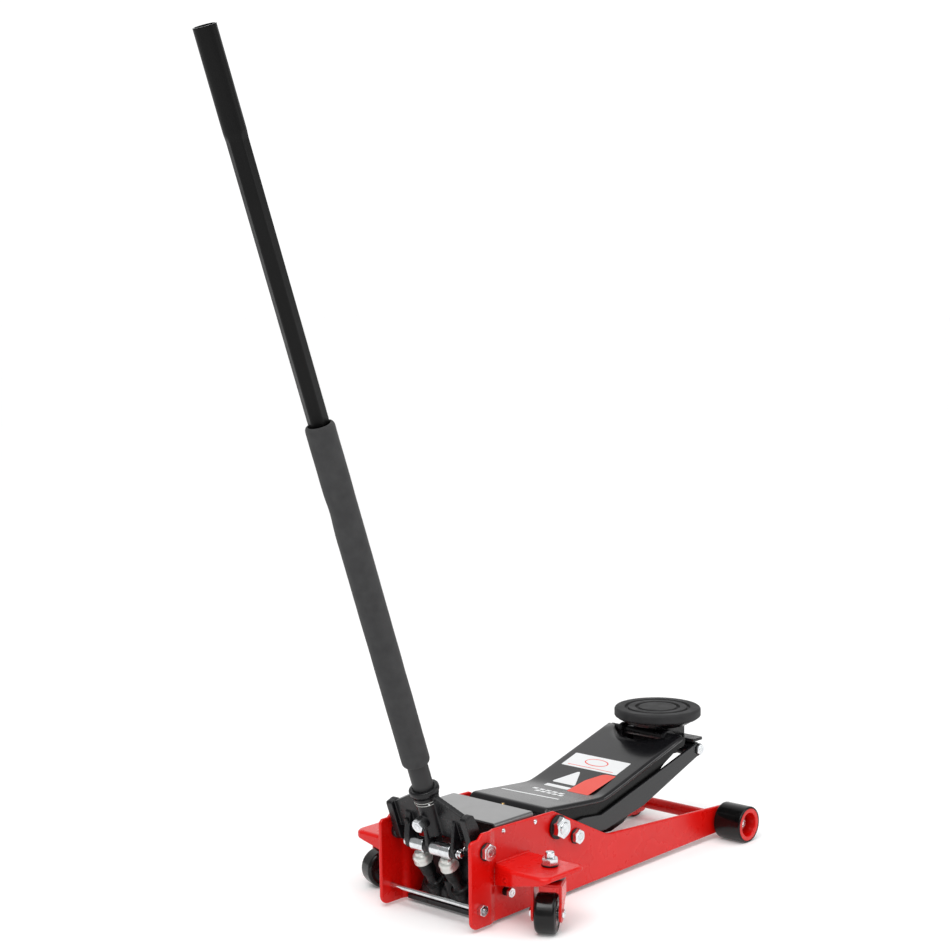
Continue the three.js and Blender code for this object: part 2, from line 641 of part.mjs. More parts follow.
// The rubber pad: a disc with a rounded rim and two ring grooves.
function saddlePad() {
  const bottom = SADDLE_TOP - PAD_HEIGHT;
  const groove = (radius) => [
    [radius - 1.8, SADDLE_TOP],
    [radius - 1.2, SADDLE_TOP - 2.2],
    [radius + 1.2, SADDLE_TOP - 2.2],
    [radius + 1.8, SADDLE_TOP],
  ];
  const profile = [
    [0, bottom],
    [PAD_RADIUS - 2, bottom],
    [PAD_RADIUS, bottom + 2.2],
    [PAD_RADIUS, SADDLE_TOP - 2.6],
    [PAD_RADIUS - 0.9, SADDLE_TOP - 0.8],
    [PAD_RADIUS - 2.8, SADDLE_TOP],
    ...groove(PAD_RADIUS * 0.74).reverse(),
    ...groove(PAD_RADIUS * 0.51).reverse(),
    [0, SADDLE_TOP],
  ];
  return solid(turned(profile, ROUND + 8).translate(SADDLE_X, 0, 0));
}

// ---------------------------------------------------------------- pump and ram
// A group whose Z axis is the pumps' axis, pointing down into the block, from a point near the roller pin.
function pumpFrame(y) {
  const frame = new THREE.Object3D();
  frame.position.set(PUMP_AT[0], y, PUMP_AT[1]);
  frame.rotation.y = Math.PI - THREE.MathUtils.degToRad(PUMP_TILT);
  frame.updateMatrix();
  return frame.matrix;
}

const CAP_START = 14; // distances along the pump axis from that point
const CAP_END = 27;
const SKIRT_END = 45;
const BARREL_START = 43;
const BOSS_START = 59.5;

function pumpPlunger(y) {
  const profile = [
    [0, CAP_START - 3.7],
    [7, CAP_START - 3.7],
    [7.6, CAP_START],
    [CAP_RADIUS - 2.5, CAP_START + 0.8],
    [CAP_RADIUS, CAP_START + 4],
    [CAP_RADIUS, CAP_END],
    [SLEEVE_RADIUS, CAP_END],
    [SLEEVE_RADIUS, SKIRT_END],
    [BARREL_RADIUS + GAP, SKIRT_END],
    [BARREL_RADIUS + GAP, CAP_END + 1],
    [PLUNGER_RADIUS, CAP_END + 1],
    [PLUNGER_RADIUS, BARREL_START + 9],
    [0, BARREL_START + 9],
  ];
  return solid(turned(profile, SMALL_ROUND).applyMatrix4(pumpFrame(y)));
}

// Barrel and boss of one pump, which belong to the block, and the bore in them.
function pumpBarrel(y) {
  const profile = [
    [0, BARREL_START],
    [BARREL_RADIUS, BARREL_START],
    [BARREL_RADIUS, BOSS_START],
    [SLEEVE_RADIUS + 1, BOSS_START],
    [SLEEVE_RADIUS + 1, BOSS_START + 20],
    [0, BOSS_START + 20],
  ];
  return solid(turned(profile, SMALL_ROUND).applyMatrix4(pumpFrame(y)));
}

function pumpBore(y) {
  const radius = PLUNGER_RADIUS + GAP;
  const profile = [
    [0, BARREL_START - 1],
    [radius, BARREL_START - 1],
    [radius, BARREL_START + 24],
    [0, BARREL_START + 24],
  ];
  return solid(turned(profile, SMALL_ROUND).applyMatrix4(pumpFrame(y)));
}

function pumpBlock() {
  const bottom = BASE_TOP + GAP;
  const body = upright([
    [BLOCK_REAR - 6, bottom, 0],
    [BLOCK_REAR - 6, bottom + 14, 4],
    [BLOCK_REAR + 4, bottom + 34, 6],
    [BLOCK_REAR + 4, BLOCK_TOP, 5],
    [BLOCK_FRONT, BLOCK_TOP, 4],
    [BLOCK_FRONT, bottom, 0],
  ], -BLOCK_HALF, BLOCK_HALF);
  const spindleBoss = alongHandle([[0, -84], [8.5, -84], [8.5, -56], [0, -56]]);
  const spindleBore = alongHandle([[0, -70], [SPINDLE_RADIUS + GAP, -70], [SPINDLE_RADIUS + GAP, -50], [0, -50]]);
  return cut(
    join(body, spindleBoss, pumpBarrel(PUMP_LEFT_Y), pumpBarrel(PUMP_RIGHT_Y)),
    spindleBore,
    pumpBore(PUMP_LEFT_Y),
    pumpBore(PUMP_RIGHT_Y),
    rodX([0, RAM_Z], RAM_RADIUS + GAP, RAM_BORE_END, BLOCK_FRONT + 1),
  );
}

function ramCylinder() {
  const rear = BLOCK_FRONT + GAP;
  const tube = join(
    rodX([0, RAM_Z], CYLINDER_RADIUS - 3, rear, CYLINDER_FRONT),
    rodX([0, RAM_Z], CYLINDER_RADIUS, CYLINDER_FRONT - 9, CYLINDER_FRONT - 2),
  );
  return cut(tube, rodX([0, RAM_Z], RAM_RADIUS + GAP, rear - 1, CYLINDER_FRONT + 1));
}

function ramRod() {
  const face = THRUST_PIN[0] - THRUST_RADIUS - THRUST_PLAY;
  const rod = rodX([0, RAM_Z], RAM_RADIUS, RAM_TAIL, face - 4);
  const pad = block(face - 10, face, -24, 24, RAM_Z - 16, RAM_Z + 29);
  return join(rod, pad);
}

function fillerPlug() {
  const at = [COVER_FRONT + 8, -11];
  const foot = RAM_Z + Math.sqrt(CYLINDER_RADIUS ** 2 - 7.8 ** 2) + GAP;
  const stem = rodZ(at, 3.2, foot, COVER_TOP - 8, SMALL_ROUND);
  const collar = hexZ(at, 3.6, COVER_TOP - 9, COVER_TOP - 4.5);
  const nipple = rodZ(at, 2.4, COVER_TOP - 5, COVER_TOP - 0.5, SMALL_ROUND);
  return join(stem, collar, nipple);
}

// ---------------------------------------------------------------- handle
// The handle's own frame: Z along the handle from the socket pivot, X forwards.
const handle = new THREE.Group();
handle.position.set(SOCKET_PIVOT[0], 0, SOCKET_PIVOT[1]);
handle.rotation.y = -THREE.MathUtils.degToRad(HANDLE_LEAN);
handle.updateMatrix();
jack.add(handle);

// A turned body on the handle's axis, in the jack's frame.
const alongHandle = (profile) => solid(turned(profile, SMALL_ROUND).applyMatrix4(handle.matrix));

// The roller pin's place in the handle's frame.
const PIN_LOCAL = new THREE.Vector3(ROLLER_PIN_AT[0], 0, ROLLER_PIN_AT[1])
  .applyMatrix4(handle.matrix.clone().invert());
const PIN = [PIN_LOCAL.x, PIN_LOCAL.z];

// The lugs that carry the roller pin, as [from, to] across the jack.
const LUGS = [[-43.5, -35.7], [-2.7, 8.6], [30, 38.5]];
const WEB_FOOT = 42; // half width of the web's lower edge

function socketBarrel() {
  return solid(turned([
    [0, SOCKET_FLOOR - 3],
    [BARREL_OUT - 1.8, SOCKET_FLOOR - 3],
    [BARREL_OUT, SOCKET_FLOOR],
    [BARREL_OUT, CLAMP_HEIGHT + 8],
    [BARREL_OUT + 1.4, CLAMP_HEIGHT + 11],
    [BARREL_OUT + 1.4, CLAMP_HEIGHT + 14],
    [BARREL_OUT + 0.8, CLAMP_HEIGHT + 15],
    [BARREL_OUT + 2.2, COLLAR_TOP - 8],
    [BARREL_OUT + 4, COLLAR_TOP - 7],
    [BARREL_OUT + 4, COLLAR_TOP - 1.5],
    [BARREL_OUT + 3.2, COLLAR_TOP],
    [0, COLLAR_TOP],
  ], ROUND));
}

function socketWeb() {
  const web = across([
    [13, COLLAR_TOP - 9, 3],
    [EAR_OUT - 9, 45, 5],
    [EAR_OUT, 44, 2],
    [EAR_OUT, 26, 3],
    [EAR_OUT - 4, 22, 3],
    [EAR_OUT - 8, 12, 4],
    [WEB_FOOT, 10, 4],
    [-WEB_FOOT, 10, 4],
    [-EAR_OUT + 8, 12, 4],
    [-EAR_OUT + 4, 22, 3],
    [-EAR_OUT, 26, 3],
    [-EAR_OUT, 44, 2],
    [-EAR_OUT + 9, 45, 5],
    [-13, COLLAR_TOP - 9, 3],
  ], -3.5, 3.5);
  const ears = SIDES.map(([, side]) => upright([
    [-9, 44.5, 3],
    [6, 44.5, 4],
    [9, 30, 6],
    [10, -10, 9],
    [-10, -10, 9],
    [-9, 26, 6],
  ], side * EAR_IN, side * EAR_OUT));
  return join(web, ...ears);
}

function socketLug([y0, y1]) {
  return upright([
    [3, 40, 0],
    [-3, 40, 0],
    [PIN[0] - 8, PIN[1] + 9, 6],
    [PIN[0] - 8, PIN[1] - 8, 6],
    [PIN[0] + 7, PIN[1] - 8, 6],
    [3, 12, 4],
  ], y0, y1);
}

function handleSocket() {
  const bosses = SIDES.map(([, side]) => rodY([0, 0], 11, side * (EAR_OUT - 1), side * (REAR_HALF - PLATE - 2)));
  const clampBoss = rodX([0, CLAMP_HEIGHT], 8.5, -CLAMP_SEAT, -8, SMALL_ROUND);
  const reach = REAR_HALF - PLATE + 2;
  const bolt = (side) => rodY([0, 0], LINK_PIN + GAP, side * (EAR_IN - 1), side * reach);
  return cut(
    join(socketBarrel(), socketWeb(), ...LUGS.map(socketLug), ...bosses, clampBoss),
    rodZ([0, 0], TUBE_RADIUS + GAP, SOCKET_FLOOR + 2, COLLAR_TOP + 1),
    rodZ([0, 0], TONGUE_RADIUS + 2 * GAP, TONGUE_START, SOCKET_FLOOR + 3, SMALL_ROUND),
    rodX([0, CLAMP_HEIGHT], CLAMP_RADIUS + GAP, -CLAMP_SEAT - 1.5, 0, SMALL_ROUND),
    rodY(PIN, ROLLER_PIN + GAP, -60, 60),
    bolt(-1),
    bolt(1),
  );
}

function rollerPin() {
  const left = LUGS[2][1] + 4;
  const right = LUGS[0][0] - 7;
  const shank = rodY(PIN, ROLLER_PIN, right, left);
  return join(shank, rodY(PIN, ROLLER_PIN + 2.2, LUGS[2][1] + GAP, left));
}

function pumpRoller([, y0], [y1]) {
  const roller = rodY(PIN, PUMP_ROLLER, y0 + GAP, y1 - GAP, ROUND);
  return cut(roller, rodY(PIN, ROLLER_PIN + GAP, y0, y1));
}

function clampBolt() {
  const at = [0, CLAMP_HEIGHT];
  const seat = -CLAMP_SEAT - GAP;
  const headRadius = 7.5 / Math.cos(Math.PI / 6);
  const shank = rodX(at, CLAMP_RADIUS, seat - 1, -TUBE_RADIUS + 0.3, SMALL_ROUND);
  return join(shank, rodX(at, 9, seat - 2, seat, SMALL_ROUND), rodX(at, headRadius, seat - 9, seat - 1, 6));
}

// The lower tube has a groove for the clamp bolt's tip and a tongue that turns the release spindle.
function lowerHandle() {
  const foot = SOCKET_FLOOR + 2 + GAP;
  const inside = TUBE_RADIUS - TUBE_WALL;
  return solid(turned([
    [0, TONGUE_START],
    [TONGUE_RADIUS, TONGUE_START],
    [TONGUE_RADIUS, foot],
    [TUBE_RADIUS - 0.8, foot],
    [TUBE_RADIUS, foot + 1],
    [TUBE_RADIUS, CLAMP_HEIGHT - 6],
    [TUBE_RADIUS - 1, CLAMP_HEIGHT - 5],
    [TUBE_RADIUS - 1, CLAMP_HEIGHT + 5],
    [TUBE_RADIUS, CLAMP_HEIGHT + 6],
    [TUBE_RADIUS, HANDLE_JOINT],
    [inside, HANDLE_JOINT],
    [inside, foot + 6],
    [0, foot + 6],
  ], ROUND));
}

function upperHandle() {
  const start = HANDLE_JOINT + GAP;
  const spigotRadius = TUBE_RADIUS - TUBE_WALL - GAP;
  const hexTube = rodZ([0, 0], TUBE_RADIUS, start, HEX_END + 2, 6);
  const roundEnd = rodZ([0, 0], TUBE_RADIUS, HEX_END, HANDLE_TOP);
  const spigot = rodZ([0, 0], spigotRadius, start - SPIGOT, start + 2);
  const bore = rodZ([0, 0], spigotRadius - TUBE_WALL, start - SPIGOT - 1, HANDLE_TOP + 1);
  const mouth = rodZ([0, 0], TUBE_RADIUS - TUBE_WALL, HANDLE_TOP - 60, HANDLE_TOP + 1);
  return cut(join(hexTube, roundEnd, spigot), bore, mouth);
}

function foamGrip() {
  const edge = 3;
  const bore = TUBE_RADIUS + GAP;
  const body = solid(turned([
    [0, FOAM_START],
    [FOAM_RADIUS - edge, FOAM_START],
    [FOAM_RADIUS - 0.8, FOAM_START + 0.9],
    [FOAM_RADIUS, FOAM_START + edge],
    [FOAM_RADIUS, FOAM_END - edge],
    [FOAM_RADIUS - 0.8, FOAM_END - 0.9],
    [FOAM_RADIUS - edge, FOAM_END],
    [0, FOAM_END],
  ], ROUND));
  return cut(body, rodZ([0, 0], bore, FOAM_START - 1, FOAM_END + 1));
}

function releaseSpindle() {
  return alongHandle([
    [0, -66],
    [SPINDLE_RADIUS, -66],
    [SPINDLE_RADIUS, SPINDLE_TOP - 11],
    [SPINDLE_RADIUS + 1.5, SPINDLE_TOP - 10],
    [SPINDLE_RADIUS + 1.5, SPINDLE_TOP],
    [0, SPINDLE_TOP],
  ]);
}

// ---------------------------------------------------------------- build
add('base_plate', basePlate(), BLACK);
add('top_cover', topCover(), BLACK);
add('rear_tie_rod', rodY([TIE_X, TIE_Z], TIE_RADIUS, -REAR_HALF - 8, REAR_HALF + 8), ZINC);
add('main_pivot_shaft', mainShaft(), ZINC);
add('front_axle', frontAxle(), ZINC);
add('front_axle_tube', axleTube(), RED);
for (const [name, side] of SIDES) {
  add(`side_plate_${name}`, sidePlate(side), RED);
  add(`tie_rod_nut_${name}`, tieRodNut(side), ZINC);
  add(`main_pivot_nut_${name}`, shaftNut(side), ZINC);
  add(`link_bolt_${name}`, plateBolt(LINK_PIVOT, side, HALF_WIDTH, LINK_INSIDE, 8.5), ZINC);
  add(`socket_bolt_${name}`, plateBolt(SOCKET_PIVOT, side, REAR_HALF, EAR_IN + 1, 9.5), ZINC);
  add(`axle_nut_${name}`, axleNut(side), ZINC);
  add(`front_hub_${name}`, frontHub(side), RED);
  add(`front_sleeve_${name}`, frontSleeve(side), NYLON);
  add(`caster_bracket_${name}`, casterBracket(side), RED);
  add(`caster_stem_${name}`, casterStem(side), ZINC);
  add(`caster_race_${name}`, casterRace(side), BLACK);
  addCaster(name, side);
  add(`lift_link_${name}`, liftLink(side), BLACK);
  add(`link_front_bolt_${name}`, linkFrontBolt(side), ZINC);
}
add('lift_arm', liftArm(), BLACK);
add('thrust_pin', rodY(THRUST_PIN, THRUST_RADIUS, -ARM_HALF, ARM_HALF), ZINC);
add('saddle_pin', rodY(SADDLE_PIVOT, SADDLE_PIN, -ARM_HALF, ARM_HALF), ZINC);
add('saddle_bracket', saddleBracket(), CAST);
add('saddle_cup', saddleCup(), CAST);
add('saddle_pad', saddlePad(), RUBBER);
add('pump_block', pumpBlock(), CAST);
add('ram_cylinder', ramCylinder(), CAST);
add('ram_rod', ramRod(), ZINC);
add('filler_plug', fillerPlug(), BRASS);
add('release_spindle', releaseSpindle(), CAST);
add('pump_plunger_left', pumpPlunger(PUMP_LEFT_Y), ZINC);
add('pump_plunger_right', pumpPlunger(PUMP_RIGHT_Y), ZINC);
add('handle_socket', handleSocket(), CAST, handle);
add('roller_pin', rollerPin(), ZINC, handle);
add('pump_roller_right', pumpRoller(LUGS[0], LUGS[1]), ZINC, handle);
add('pump_roller_left', pumpRoller(LUGS[1], LUGS[2]), ZINC, handle);
add('clamp_bolt', clampBolt(), ZINC, handle);
add('lower_handle', lowerHandle(), BLACK, handle);
add('upper_handle', upperHandle(), BLACK, handle);
add('foam_grip', foamGrip(), FOAM, handle);

// The origin lies under the middle of the whole jack.
const bounds = new THREE.Box3().setFromObject(jack);
jack.position.x = -(bounds.min.x + bounds.max.x) / 2;
jack.updateMatrixWorld(true);

export default jack;
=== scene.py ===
"""The looks of a low-profile trolley jack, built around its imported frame.

Shapes are drawn in millimetres on the jack's own drawing, where x = 0 is near the rear of the
chassis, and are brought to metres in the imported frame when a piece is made.
"""

import logging
import math
from dataclasses import dataclass, field
from enum import Enum
from typing import Sequence

import bmesh
import bpy
from mathutils import Matrix, Vector, noise


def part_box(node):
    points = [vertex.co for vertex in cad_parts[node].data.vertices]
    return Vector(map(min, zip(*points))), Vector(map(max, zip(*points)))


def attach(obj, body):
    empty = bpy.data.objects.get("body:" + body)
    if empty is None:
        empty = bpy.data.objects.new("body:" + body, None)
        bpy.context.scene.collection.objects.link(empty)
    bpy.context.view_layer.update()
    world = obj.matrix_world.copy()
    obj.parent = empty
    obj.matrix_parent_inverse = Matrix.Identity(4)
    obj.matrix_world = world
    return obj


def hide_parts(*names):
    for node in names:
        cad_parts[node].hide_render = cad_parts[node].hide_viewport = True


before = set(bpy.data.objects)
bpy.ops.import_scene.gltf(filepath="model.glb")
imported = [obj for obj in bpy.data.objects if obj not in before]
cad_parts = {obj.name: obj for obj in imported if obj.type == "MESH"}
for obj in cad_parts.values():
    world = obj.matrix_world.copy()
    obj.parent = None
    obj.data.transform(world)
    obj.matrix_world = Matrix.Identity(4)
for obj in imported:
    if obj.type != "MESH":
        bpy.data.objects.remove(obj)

LOG = logging.getLogger("jack")
MM = 0.001

Point = tuple[float, float]
Corner = tuple[float, float, float]
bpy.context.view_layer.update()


# ---------------------------------------------------------------- named options
class Plane(Enum):
    """The plane an outline is drawn in; it is given depth along the third axis."""

    XZ = "XZ"
    XY = "XY"
    YZ = "YZ"


class Side(Enum):
    """A side of the jack: the ending of its nodes' names and its direction along Y."""

    RIGHT = ("right", -1)
    LEFT = ("left", 1)

    @property
    def ending(self) -> str:
        """The ending of this side's node names."""
        return self.value[0]

    @property
    def out(self) -> int:
        """The direction outwards along Y."""
        return self.value[1]


# ---------------------------------------------------------------- the drawing
@dataclass(frozen=True)
class Drawing:
    """The jack's shared dimensions, in millimetres."""

    front_axle: Point = (519.0, 25.0)
    arm_pivot: Point = (161.0, 95.0)
    link_pivot: Point = (197.0, 75.0)
    saddle_pivot: Point = (440.0, 151.0)
    link_front: Point = (476.0, 131.0)
    socket_pivot: Point = (24.0, 96.0)
    roller_pin: Point = (12.0, 90.2)
    pump_point: Point = (9.0, 89.0)
    tie_rod: Point = (14.0, 27.0)
    thrust_pin: Point = (172.0, 48.0)
    thrust_radius: float = 8.0
    half_width: float = 73.0
    flare: float = 4.0
    plate: float = 5.0
    handle_lean: float = 19.4
    pump_tilt: float = 30.0
    caster: Point = (80.0, 129.0)
    caster_trail: float = 20.0
    caster_radius: float = 24.5
    caster_yaw: dict[Side, float] = field(
        default_factory=lambda: {Side.RIGHT: 30.0, Side.LEFT: -20.0}
    )

    def shift(self) -> float:
        """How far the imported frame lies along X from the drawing, in metres, by its front axle."""
        low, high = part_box("front_axle")
        return (low.x + high.x) / 2 - self.front_axle[0] * MM

    def to_frame(self) -> Matrix:
        """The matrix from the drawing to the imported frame."""
        return Matrix.Translation((self.shift(), 0, 0)) @ Matrix.Scale(MM, 4)

    def at_y(self, at: Point, y: float, side: Side = Side.LEFT) -> Matrix:
        """A frame at (x, z) and y whose Z axis points outwards on a side.

        Args:
            at: The place as (x, z).
            y: The distance from the middle, outwards.
            side: Which side is outwards.

        Returns:
            The matrix from that frame to the drawing.
        """
        turn = Matrix.Rotation(-side.out * math.pi / 2, 4, "X")
        return Matrix.Translation((at[0], side.out * y, at[1])) @ turn

    def handle(self) -> Matrix:
        """The handle's frame: Z along the handle from the socket pivot, X forwards."""
        turn = Matrix.Rotation(-math.radians(self.handle_lean), 4, "Y")
        return Matrix.Translation((self.socket_pivot[0], 0, self.socket_pivot[1])) @ turn

    def pump(self, y: float) -> Matrix:
        """A pump's frame: Z down into the block from a point near the roller pin."""
        turn = Matrix.Rotation(math.pi - math.radians(self.pump_tilt), 4, "Y")
        return Matrix.Translation((self.pump_point[0], y, self.pump_point[1])) @ turn

    def swivel(self, side: Side) -> Matrix:
        """A caster's frame: Z up its stem, the wheel behind it along -X."""
        turn = Matrix.Rotation(math.radians(self.caster_yaw[side]), 4, "Z")
        return Matrix.Translation((self.caster[0], side.out * self.caster[1], 0)) @ turn


DRAWING = Drawing()


# ---------------------------------------------------------------- outlines
def rounded(corners: Sequence[Corner], steps: int = 7) -> list[Point]:
    """Turns corners into an outline whose corners are true arcs.

    Args:
        corners: Corners as (a, b, radius), in order.
        steps: Straight pieces in each arc.

    Returns:
        The outline's points in the same order.
    """
    points: list[Point] = []
    for i, (a, b, radius) in enumerate(corners):
        here = Vector((a, b))
        before = Vector(corners[i - 1][:2]) - here
        after = Vector(corners[(i + 1) % len(corners)][:2]) - here
        if radius <= 0 or before.length == 0 or after.length == 0:
            points.append((a, b))
            continue
        before.normalize()
        after.normalize()
        half = before.angle(after) / 2
        middle = (before + after).normalized()
        centre = here + middle * (radius / math.sin(half))
        start = here + before * (radius / math.tan(half)) - centre
        end = here + after * (radius / math.tan(half)) - centre
        turn = start.angle_signed(end)
        for k in range(steps + 1):
            arm = start.copy()
            arm.rotate(Matrix.Rotation(-turn * k / steps, 2))
            points.append(tuple(centre + arm))
    return points


def arc(centre: Point, radius: float, start: float, end: float, steps: int = 8) -> list[Point]:
    """Points on an arc.

    Args:
        centre: The arc's centre.
        radius: Its radius.
        start: The first point's angle, in degrees.
        end: The last point's angle, in degrees.
        steps: Straight pieces in the arc.

    Returns:
        The points from start to end.
    """
    angles = (math.radians(start + (end - start) * k / steps) for k in range(steps + 1))
    return [(centre[0] + radius * math.cos(t), centre[1] + radius * math.sin(t)) for t in angles]


def smooth_step(value: float) -> float:
    """A soft step from 0 to 1 as value goes from 0 to 1."""
    t = min(max(value, 0.0), 1.0)
    return t * t * (3 - 2 * t)


# ---------------------------------------------------------------- shells
class Shell:
    """Closed skins gathered into one piece, drawn in millimetres."""

    def __init__(self) -> None:
        """Starts with nothing in it."""
        self.mesh = bmesh.new()

    def loops(self, loops: Sequence[Sequence[Vector]], capped: bool = True) -> "Shell":
        """Skins a row of loops that have the same number of points.

        Args:
            loops: The loops, each closed on itself.
            capped: Whether the first and last loops are filled; if not, they are joined to
                each other, as on a ring.

        Returns:
            This shell.
        """
        rows = [[self.mesh.verts.new(p) for p in loop] for loop in loops]
        pairs = list(zip(rows, rows[1:]))
        if not capped:
            pairs.append((rows[-1], rows[0]))
        made = []
        for low, high in pairs:
            for i, _ in enumerate(low):
                k = (i + 1) % len(low)
                made.append(self.mesh.faces.new((low[i], low[k], high[k], high[i])))
        if capped:
            made.append(self.mesh.faces.new(list(reversed(rows[0]))))
            made.append(self.mesh.faces.new(rows[-1]))
        bmesh.ops.recalc_face_normals(self.mesh, faces=made)
        return self

    def prism(self, outline: Sequence[Point], plane: Plane, low: float, high: float,
              place: Matrix = Matrix()) -> "Shell":
        """Gives an outline depth between two places on the third axis.

        Args:
            outline: The outline's points.
            plane: The plane they are drawn in.
            low: Where the depth starts.
            high: Where it ends.
            place: A matrix from the outline's frame to the drawing.

        Returns:
            This shell.
        """
        def at(point: Point, depth: float) -> Vector:
            """The place in the drawing of one point at one depth.

            Args:
                point: The point in the outline's plane.
                depth: How far it lies along the third axis.

            Returns:
                The place in the drawing.
            """
            a, b = point
            spots = {Plane.XZ: (a, depth, b), Plane.XY: (a, b, depth), Plane.YZ: (depth, a, b)}
            return place @ Vector(spots[plane])

        return self.loops([[at(p, low) for p in outline], [at(p, high) for p in outline]])

    def box(self, x: Point, y: Point, z: Point, place: Matrix = Matrix()) -> "Shell":
        """A block between two values on each axis."""
        outline = [(x[0], y[0]), (x[1], y[0]), (x[1], y[1]), (x[0], y[1])]
        return self.prism(outline, Plane.XY, z[0], z[1], place)

    def turned(self, profile: Sequence[Point], place: Matrix = Matrix(), segments: int = 64,
               ring: bool = False) -> "Shell":
        """Turns a profile of (radius, z) points about a Z axis.

        Args:
            profile: The profile's points. A solid's profile has no point on the axis: its
                ends are filled flat.
            place: A matrix from the profile's frame to the drawing.
            segments: Straight pieces round the axis.
            ring: Whether the profile closes on itself, as a tube's does.

        Returns:
            This shell.
        """
        turns = [2 * math.pi * k / segments for k in range(segments)]
        rows = [
            [place @ Vector((r * math.cos(t), r * math.sin(t), z)) for t in turns]
            for r, z in profile
        ]
        return self.loops(rows, capped=not ring)

    def hexagon(self, flats: float, low: float, high: float, place: Matrix,
                chamfer: float = 0.5) -> "Shell":
        """A six-sided head or nut whose outer corners are turned off to a cone.

        Args:
            flats: Half of its width across flats.
            low: Where it starts along the frame's Z axis.
            high: Where its outer face is.
            place: A matrix from its frame to the drawing.
            chamfer: Slope of the turned cone.

        Returns:
            This shell.
        """
        face = flats * 0.94
        turns = [math.radians(5 * k) for k in range(72)]
        reach = [flats / math.cos((t + math.pi / 6) % (math.pi / 3) - math.pi / 6) for t in turns]
        spots = [(math.cos(t), math.sin(t), r) for t, r in zip(turns, reach)]
        foot = [place @ Vector((r * c, r * s, low)) for c, s, r in spots]
        brow = [place @ Vector((r * c, r * s, high - (r - face) * chamfer)) for c, s, r in spots]
        rim = [place @ Vector((face * c, face * s, high)) for c, s, _ in spots]
        return self.loops([foot, brow, rim])

    def rod(self, path: Sequence[Vector], radius: float, segments: int = 12,
            closed: bool = False) -> "Shell":
        """A round wire along a path.

        Args:
            path: The path's points.
            radius: The wire's radius.
            segments: Straight pieces round the wire.
            closed: Whether the path closes on itself.

        Returns:
            This shell.
        """
        count = len(path)
        rows = []
        up = Vector((0.13, 0.31, 0.94))
        for i, here in enumerate(path):
            ahead = path[(i + 1) % count] if closed else path[min(i + 1, count - 1)]
            behind = path[i - 1] if closed else path[max(i - 1, 0)]
            along = (ahead - behind).normalized()
            across = along.cross(up).normalized()
            up = across.cross(along).normalized()
            turns = [2 * math.pi * k / segments for k in range(segments)]
            rows.append([
                here + across * radius * math.cos(t) + up * radius * math.sin(t) for t in turns
            ])
        return self.loops(rows, capped=not closed)


